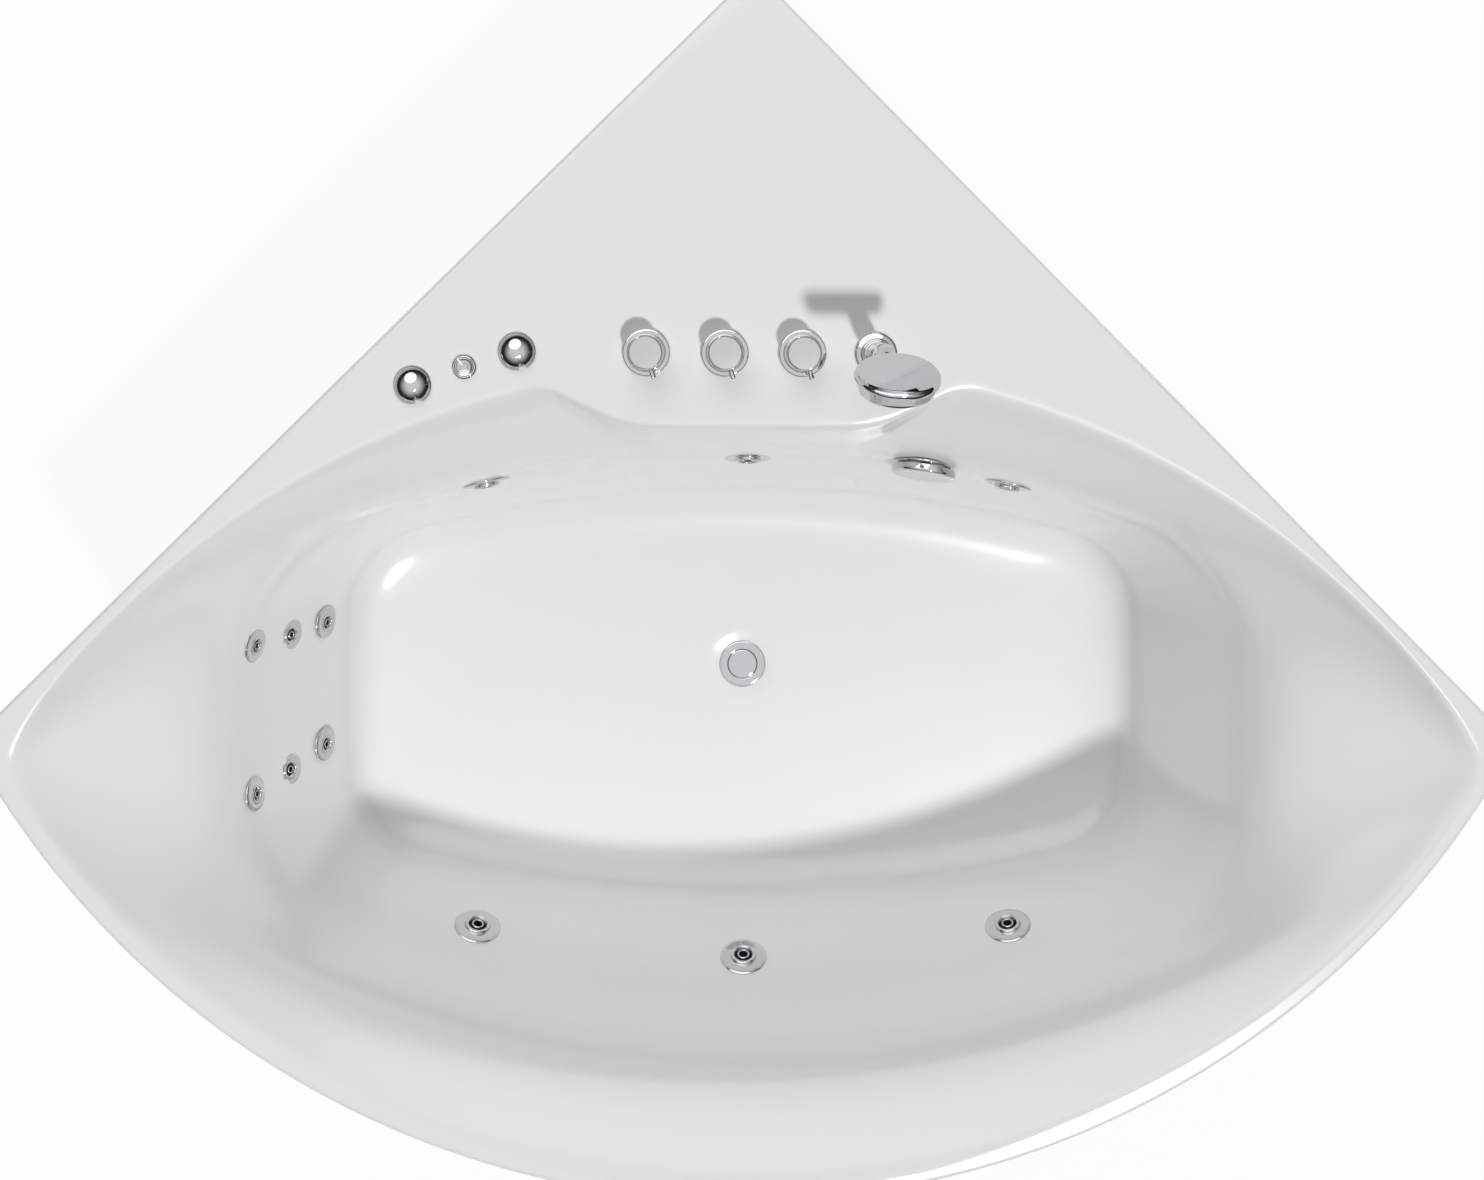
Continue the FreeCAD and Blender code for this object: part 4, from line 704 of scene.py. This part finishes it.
def taps():
    """Three knobs on their flanges, each with a set-in cap and a stub lever."""
    flange = turned([(TAP_BORE, 0), (TAP_FLANGE, 0), (TAP_FLANGE, 5.4), (29.9, 6.9), (28.6, 7.5),
                     (24.6, 7.9), (24.0, 7.4), (23.2, 7.4), (22.6, 8), (TAP_BORE, 8)], edge=0.7)
    top = KNOB_TOP
    knob = turned([(KNOB_BORE, 20.3), (KNOB_SKIRT, 20.3), (KNOB_SKIRT, KNOB_LOW), (21.4, KNOB_LOW),
                   (KNOB_RADIUS, 9.0), (KNOB_RADIUS, top - 1.2), (21.8, top - 0.3), (21.4, top),
                   (21, top - 0.2), (20.8, top - 0.8), (20.8, top - 2.4), (KNOB_BORE, top - 2.4)], edge=0.4)
    cap = turned([(0, top - 2.3), (CAP_RADIUS, top - 2.3), (CAP_RADIUS, top - 0.9), (19.7, top - 0.5),
                  (0, top - 0.4)], edge=0.3)
    lever = turned([(0, 20), (3.0, 20), (3.0, 23), (LEVER_RADIUS, 23.6), (LEVER_RADIUS, 33.2), (3.0, 34),
                    (1.9, 34), (1.7, 33.2), (0, 33.2)], edge=0.4, turns=40)
    lever = placed(placed(lever, (0, 0, 0), (1, 0, 0)), (0, 0, LEVER_Z * MM), spin=LEVER_ANGLE)
    seats = []
    for name in TAPS:
        body = f"{name}_tap"
        place = Vector(joints[f"{body}_turn"]["pos_m"])
        seats.append(placed(flange, place))
        piece(f"{name}_tap_knob_body", placed(joined(knob, lever), place), "chrome", body=body,
              covers=[f"{name}_tap_knob"])
        piece(f"{name}_tap_knob_cap", placed(cap, place), "knob_caps", body=body,
              covers=[f"{name}_tap_knob"])
    piece("tap_flanges_turned", joined(*seats), "chrome", covers=["tap_flanges"])


# ---- hand shower -------------------------------------------------------------------------------
SHOWER_AT = (0.158, 0.490)
HOLDER_BORE, HOLDER_THREAD, HOLDER_FLANGE, HOLDER_LOW = 12.05, 14.0, 27.5, -70.0
SLEEVE_BORE, SLEEVE_RADIUS, SLEEVE_COLLAR, SLEEVE_LOW = 9.05, 12.0, 16.5, -66.0
STEM_RADIUS, STEM_LOW = 9.0, -74.0
HEAD_TILT = math.radians(62.5)
HEAD_BACK = Vector((6.0, -20.0, 190.0)) * MM             # middle of the head's back, above the deck
SPRAY = Vector((0.0, -math.sin(HEAD_TILT), -math.cos(HEAD_TILT)))
DOWN_BACK = Vector((0.0, SPRAY.z, -SPRAY.y))
HEAD_RADIUS = 47.4
HEAD_SIDE = [(48.6, 3.0), (50.4, 4.6), (51.0, 6.4), (50.8, 8.0), (49.4, 11.5), (45.6, 21.6), (45.2, 23.6),
             (44.2, 25), (42.6, 25), (41.6, 24.4), (41.5, 20)]
SCOOP_FROM, SCOOP_OVER = math.radians(-8.0), math.radians(99.0)
SCOOP_IN, SCOOP_SLOPE = 9.5, 0.42
BACK_EDGE_FROM, BACK_EDGE_RUN, BACK_EDGE_DROP = 0.985, 0.015, 0.6
SIDE_STEP = 0.4 * MM        # least fall from one row of the side to the next, below the scoop
PLATE_RADIUS = 41.2
PLATE_DEPTH = 20.0          # from the head's back to its spray plate
NUB_RINGS = ((6.5, 6), (13.0, 12), (19.5, 18), (26.0, 24), (32.0, 30))      # radius and count


def smooth_path(knots, steps):
    """Values on a smooth curve through knots, rows of numbers."""
    knots = np.array(knots, float)
    ends = np.vstack([2 * knots[0] - knots[1], knots, 2 * knots[-1] - knots[-2]])
    rows = []
    for k in range(len(knots) - 1):
        p0, p1, p2, p3 = ends[k:k + 4]
        for s in np.linspace(0, 1, steps, endpoint=False):
            rows.append(0.5 * (2 * p1 + (p2 - p0) * s + (2 * p0 - 5 * p1 + 4 * p2 - p3) * s * s
                               + (3 * p1 - p0 - 3 * p2 + p3) * s ** 3))
    rows.append(knots[-1])
    return rows


def grip_shape(turns=56):
    """The wand from its collar up into the head: round at first, then flattened and widened."""
    end = HEAD_BACK + DOWN_BACK * 0.0202 + SPRAY * 0.0105
    middle = Vector((0, 0, 0.108)) * 0.5 + end * 0.5
    half = ((Vector((0, 0, 1)) - DOWN_BACK) / 2).normalized()
    # Middle x, y and z, half width, half depth, and the y and z of the way the wand runs there.
    knots = [(0, 0, 0.0156, 0.0100, 0.0100, 0, 1), (0, 0, 0.0170, 0.0110, 0.0110, 0, 1),
             (0, 0, 0.0356, 0.0121, 0.0121, 0, 1), (0, 0, 0.0706, 0.0127, 0.0127, 0, 1),
             (0, 0, 0.1080, 0.0115, 0.0115, 0, 1),
             (*middle, 0.0155, 0.0109, half.y, half.z), (*end, 0.0240, 0.0092, -DOWN_BACK.y, -DOWN_BACK.z)]
    points, faces = [], []
    rows = smooth_path(knots, 8)
    for x, y, z, wide, deep, ny, nz in rows:
        lean = Vector((0, nz, -ny)).normalized()
        for k in range(turns):
            a = 2 * math.pi * k / turns
            across = Vector((1, 0, 0)) * wide * math.cos(a)
            points.append(Vector((x, y, z)) + across + lean * deep * math.sin(a))
    for i in range(len(rows) - 1):
        for k in range(turns):
            j = (k + 1) % turns
            faces.append((i * turns + k, i * turns + j, (i + 1) * turns + j, (i + 1) * turns + k))
    faces.append(tuple(reversed(range(turns))))
    faces.append(tuple((len(rows) - 1) * turns + k for k in range(turns)))
    return points, faces


def head_shape(turns=180):
    """The head about its spray axis: a flat back scooped off along one edge, and a side that draws in."""
    side = rounded(mm([(0, 3.0), *HEAD_SIDE, (0, PLATE_DEPTH)]), 0.7 * MM)[1:-1]
    shares = np.concatenate([np.linspace(0.1, 0.7, 5), np.linspace(0.74, 1.0, 14)])
    points = [Vector((0, 0, 0))]
    for k in range(turns):
        a = 2 * math.pi * k / turns
        along = (a - SCOOP_FROM) % (2 * math.pi) / SCOOP_OVER
        depth = SCOOP_IN * math.sin(math.pi * along) if along < 1 else 0.0
        column = []
        for share in shares:
            r = HEAD_RADIUS * share
            scooped = max(0.0, r - (HEAD_RADIUS - depth)) * SCOOP_SLOPE
            edge = BACK_EDGE_DROP * max(0.0, (share - BACK_EDGE_FROM) / BACK_EDGE_RUN)
            column.append((r * MM, max(scooped, edge) * MM))
        last = column[-1][1]
        column += [(r, max(z, last + SIDE_STEP * (1 + i))) for i, (r, z) in enumerate(side)]
        column.append((0.0, PLATE_DEPTH * MM))
        points += [Vector((r * math.cos(a), r * math.sin(a), z)) for r, z in column]
    count = len(column)
    faces = []
    for k in range(turns):
        here, there = 1 + k * count, 1 + (k + 1) % turns * count
        faces.append((0, there, here))
        faces += [(here + i, there + i, there + i + 1, here + i + 1) for i in range(count - 1)]
    return points, faces


def hand_shower():
    """The holder in the deck, its turning sleeve, the wand with its head, and the spray plate's nubs."""
    place = at(*SHOWER_AT, RIM_HEIGHT)
    holder = turned([(HOLDER_BORE, HOLDER_LOW), (HOLDER_THREAD, HOLDER_LOW), (HOLDER_THREAD, 0),
                     (HOLDER_FLANGE, 0), (HOLDER_FLANGE, 2.2), (26.8, 4.0), (24.6, 5.2), (20.4, 6.4),
                     (19.0, 7.2), (18.6, 8.6), (17.2, 9.0), (16.9, 9.8), (17.3, 10.4), (17.0, 12),
                     (HOLDER_BORE, 12)], edge=0.7)
    piece("shower_holder_turned", placed(holder, place), "chrome", covers=["shower_holder"])
    sleeve = turned([(SLEEVE_BORE, SLEEVE_LOW), (SLEEVE_RADIUS, SLEEVE_LOW), (SLEEVE_RADIUS, 12.3),
                     (SLEEVE_COLLAR, 12.3), (SLEEVE_COLLAR, 13.6), (16, 14.9), (15, 15.3),
                     (SLEEVE_BORE, 15.3)], edge=0.6)
    piece("shower_guide_sleeve_turned", placed(sleeve, place), "chrome", body="shower_guide",
          covers=["shower_guide_sleeve"])
    stem = turned([(0, STEM_LOW), (STEM_RADIUS, STEM_LOW), (STEM_RADIUS, 25), (0, 25)], edge=0.6)
    head = placed(head_shape(), HEAD_BACK, SPRAY)
    piece("hand_shower_wand", placed(joined(stem, grip_shape(), head), place), "chrome", body="hand_shower",
          covers=["hand_shower"])
    plate = turned([(0, 20.1), (PLATE_RADIUS, 20.1), (PLATE_RADIUS, 24), (40.2, 24.6), (37.6, 24.5),
                    (37.0, 23.9), (36.2, 23.9), (35.6, 24.5), (0, 25)], edge=0.5, turns=120)
    plate = placed(placed(plate, HEAD_BACK, SPRAY), place)
    piece("spray_plate_turned", plate, "grey_plastic", body="hand_shower", covers=["spray_plate"])
    nub = lathe(mm([(0, 24.0), (1.5, 24.0), (1.3, 25.2), (0.9, 25.6), (0.45, 25.6), (0.45, 24.8),
                    (0, 24.8)]), 14)
    nubs = []
    for ring, count in NUB_RINGS:
        for k in range(count):
            a = 2 * math.pi * (k + 0.5 * (ring % 2)) / count
            moved = [p + Vector((ring * math.cos(a), ring * math.sin(a), 0)) * MM for p in nub[0]]
            nubs.append(placed(placed((moved, nub[1]), HEAD_BACK, SPRAY), place))
    piece("spray_plate_nubs", joined(*nubs), "rubber", body="hand_shower", covers=["spray_plate"])


# ---- air controls and button -------------------------------------------------------------------
AIR_RADIUS = 24.0
AIR_DOME = 14.0
AIR_LOW = 2.3
AIR_SHAFT, AIR_SHAFT_END = 5.0, -30.0
NOTCH_HALF = 3.0
NOTCH_IN = 16.0
PIN_RADIUS, PIN_FROM, PIN_TO, PIN_Z = 1.1, 14.0, 20.0, 6.0


def air_knob_shape():
    """A dome with a notch in its edge, its shaft below."""
    sphere = (AIR_RADIUS ** 2 + AIR_DOME ** 2) / (2 * AIR_DOME)
    centre = AIR_LOW + AIR_DOME - sphere
    edge = math.atan2(NOTCH_HALF, AIR_RADIUS)
    inner = math.atan2(NOTCH_HALF, NOTCH_IN)
    even = np.linspace(inner, 2 * math.pi - inner, 150)
    steep = np.linspace(edge, inner, 8)
    turns = np.concatenate([np.linspace(-inner, inner, 9), even[1:-1]])
    turns = np.unique(np.round(np.concatenate([turns, steep, -steep, [edge + 1e-4, -edge - 1e-4]])
                               % (2 * math.pi), 6))
    signed = (turns + math.pi) % (2 * math.pi) - math.pi
    across = np.abs(np.sin(signed)) + 1e-9
    limit = np.where(np.abs(signed) <= inner + 1e-7, NOTCH_IN / np.cos(signed), AIR_RADIUS)
    limit = np.where((np.abs(signed) > edge) & (np.abs(signed) < inner),
                     np.minimum(np.maximum(NOTCH_HALF / across, NOTCH_IN), AIR_RADIUS), limit)
    limit = np.where(np.abs(signed) <= edge, NOTCH_IN, limit)
    count = len(turns)
    rows = [(limit * s, centre + np.sqrt(sphere ** 2 - (limit * s) ** 2))
            for s in np.linspace(0.04, 0.97, 26)]
    rim = centre + np.sqrt(sphere ** 2 - np.minimum(limit, AIR_RADIUS - 0.02) ** 2)
    rows.append((limit, np.maximum(rim - 0.3, AIR_LOW + 0.5)))
    rows.append((limit, np.full(count, AIR_LOW + 0.3)))
    rows.append((limit - 0.3, np.full(count, AIR_LOW)))
    rows += [(np.full(count, AIR_SHAFT), np.full(count, z)) for z in (AIR_LOW, AIR_SHAFT_END)]
    points = [Vector((0, 0, (centre + sphere) * MM))]
    for r, z in rows:
        points += [Vector((r[k] * math.cos(turns[k]), r[k] * math.sin(turns[k]), z[k])) * MM
                   for k in range(count)]
    faces = [(0, 1 + k, 1 + (k + 1) % count) for k in range(count)]
    for i in range(len(rows) - 1):
        for k in range(count):
            j = (k + 1) % count
            here, below = 1 + i * count, 1 + (i + 1) * count
            faces.append((here + k, below + k, below + j, here + j))
    faces.append(tuple(1 + (len(rows) - 1) * count + k for k in range(count)))
    return points, faces


def air_controls():
    """The two notched dome knobs, each with a pin in its notch."""
    pin = turned([(0, PIN_FROM), (PIN_RADIUS, PIN_FROM), (PIN_RADIUS, PIN_TO), (0, 20.4)], edge=0.3, turns=20)
    pin = placed(placed(pin, (0, 0, 0), (1, 0, 0)), (0, 0, PIN_Z * MM))
    shape = joined(air_knob_shape(), pin)
    for side in ("left", "right"):
        joint = joints[f"air_control_{side}_turn"]
        place = Vector(joint["pos_m"])
        place.z = RIM_HEIGHT
        piece(f"air_knob_{side}_domed", placed(shape, place, spin=LEVER_ANGLE), "chrome", body=joint["child"],
              covers=[f"air_knob_{side}"], sharp=40)


BUTTON_AT = (-0.366, 0.510)
BEZEL_BORE, BEZEL_RADIUS = 12.25, 16.0
BARREL_RADIUS, BARREL_LOW = 13.45, -34.0
AIR_TAIL, AIR_TAIL_BORE, AIR_TAIL_LOW = 3.0, 1.5, -46.0
BUTTON_RADIUS, BUTTON_LOW = 12.2, -10.0
BELLOWS_TOP, BELLOWS_FOLDS, BELLOWS_PITCH, BELLOWS_HALF = -10.2, 8, 2.55, 1.27
BELLOWS_OUT, BELLOWS_IN, BELLOWS_WALL = 10.2, 8.2, 1.4


def push_button():
    """The pump's push button in its bezel, over the bellows that it presses."""
    joint = joints["pump_button_press"]
    place = at(*BUTTON_AT, RIM_HEIGHT)
    bezel = turned([(BEZEL_BORE, 4.6), (12.7, 5), (13.7, 5), (15.0, 4.0), (15.8, 2.4), (BEZEL_RADIUS, 1),
                    (BEZEL_RADIUS, 0), (BARREL_RADIUS, 0), (BARREL_RADIUS, BARREL_LOW),
                    (AIR_TAIL, BARREL_LOW), (AIR_TAIL, AIR_TAIL_LOW), (AIR_TAIL_BORE, AIR_TAIL_LOW),
                    (AIR_TAIL_BORE, -31), (BEZEL_BORE, -31)], edge=0.6)
    piece("button_bezel_turned", placed(bezel, place), "chrome", covers=["button_bezel"])
    push = turned([(0, 3.1), (2.2, 2.9), (4.4, 2.9), (5.2, 3.4), (6.2, 3.4), (7.0, 3.3), (9.0, 3.9),
                   (10.4, 4.8), (11.4, 5.2), (12.0, 4.8), (BUTTON_RADIUS, 4.0), (BUTTON_RADIUS, BUTTON_LOW),
                   (0, BUTTON_LOW)], edge=0.5)
    piece("air_button_turned", placed(push, place), "chrome", body=joint["child"], covers=["air_button"])
    folds = []
    for k in range(BELLOWS_FOLDS):
        z = BELLOWS_TOP - k * BELLOWS_PITCH
        folds += [(BELLOWS_OUT, z), (BELLOWS_IN, z - BELLOWS_HALF)]
    inner = [(r - BELLOWS_WALL, z) for r, z in reversed(folds)]
    piece("button_bellows_folded", placed(lathe(mm(folds + inner), 64), place), "rubber",
          covers=["button_bellows"])


# ---- apron -------------------------------------------------------------------------------------
APRON_RADIUS = 1.121
APRON_SHEET = 0.004
APRON_HALF_ANGLE = math.radians(57.0)
APRON_LOW = 0.025
APRON_FOOT = 0.022          # how far its foot turns in
APRON_EDGE, APRON_EASE = 0.002, 0.0006
APRON_FLAT_FROM = 0.050
APRON_GAP = 0.0003


def front_apron(steps=260):
    """The curved panel under the rim's front edge, with its turned-in foot."""
    out, inside, foot = APRON_RADIUS, APRON_RADIUS - APRON_SHEET, APRON_RADIUS - APRON_SHEET - APRON_FOOT
    low, top = APRON_LOW, RIM_HEIGHT - SHEET - APRON_GAP
    profile = [(foot, low), (out - APRON_EDGE, low), (out - APRON_EASE, low + APRON_EASE),
               (out, low + APRON_EDGE)]
    profile += [(out, z) for z in np.linspace(APRON_FLAT_FROM, top - APRON_EDGE, 24)]
    profile += [(out - APRON_EASE, top - APRON_EASE), (out - APRON_EDGE, top), (inside, top),
                (inside, low + APRON_SHEET), (foot, low + APRON_SHEET)]
    count = len(profile)
    points = []
    for a in np.linspace(-APRON_HALF_ANGLE, APRON_HALF_ANGLE, steps):
        points += [at(r * math.sin(a), FRONT_CENTRE_B + r * math.cos(a), z) for r, z in profile]
    faces = []
    for k in range(steps - 1):
        for i in range(count):
            j = (i + 1) % count
            faces.append((k * count + i, k * count + j, (k + 1) * count + j, (k + 1) * count + i))
    faces.append(tuple(reversed(range(count))))
    faces.append(tuple((steps - 1) * count + i for i in range(count)))
    piece("front_apron_panel", (points, faces), "acrylic", covers=["front_apron"])


# ---- carried-over nodes ------------------------------------------------------------------------

def carry_over():
    """Every CAD node that stays in sight takes its slot's finish."""
    slots = {s["node"]: s["material_slot"] for s in frame["record"]["subparts"]}
    for name, obj in nodes.items():
        obj.data.materials.clear()
        obj.data.materials.append(MATERIALS[slots[name]])


def floor():
    """A pale floor, near white to the camera, that keeps the object's shadow."""
    material = bpy.data.materials.new("studio_floor")
    material.use_nodes = True
    tree = material.node_tree
    tree.nodes.clear()
    new, link = tree.nodes.new, tree.links.new
    matte = new("ShaderNodeBsdfDiffuse")
    matte.inputs["Color"].default_value = (FLOOR_GREY, FLOOR_GREY, FLOOR_GREY, 1)
    white = new("ShaderNodeEmission")
    white.inputs["Color"].default_value = (1, 1, 1, 1)
    path = new("ShaderNodeLightPath")
    share = new("ShaderNodeMath")
    share.operation = "MULTIPLY"
    share.inputs[1].default_value = FLOOR_WHITE
    mix = new("ShaderNodeMixShader")
    out = new("ShaderNodeOutputMaterial")
    link(path.outputs["Is Camera Ray"], share.inputs[0])
    link(share.outputs[0], mix.inputs[0])
    link(matte.outputs[0], mix.inputs[1])
    link(white.outputs[0], mix.inputs[2])
    link(mix.outputs[0], out.inputs[0])
    mesh = bpy.data.meshes.new("studio_floor")
    half = FLOOR_HALF
    corners = [(-half, -half, 0), (half, -half, 0), (half, half, 0), (-half, half, 0)]
    mesh.from_pydata(corners, [], [(0, 1, 2, 3)])
    mesh.materials.append(material)
    obj = bpy.data.objects.new("studio_floor", mesh)
    bpy.context.scene.collection.objects.link(obj)


camera()
lights()
world()
floor()
carry_over()
ring_spots = ring_places()
overflow = joints["overflow_turn"]
ports = [(seat, axis, JETS[kind]["hole"]) for kind, seat, axis in ring_spots]
ports.append((Vector(overflow["pos_m"]), Vector(overflow["axis"]), OVERFLOW_HOLE))
tub_shell(ports)
jets(ring_spots)
overflow_fittings()
waste_fittings()
taps()
hand_shower()
air_controls()
push_button()
front_apron()

bpy.context.scene.view_settings.view_transform = "Standard"
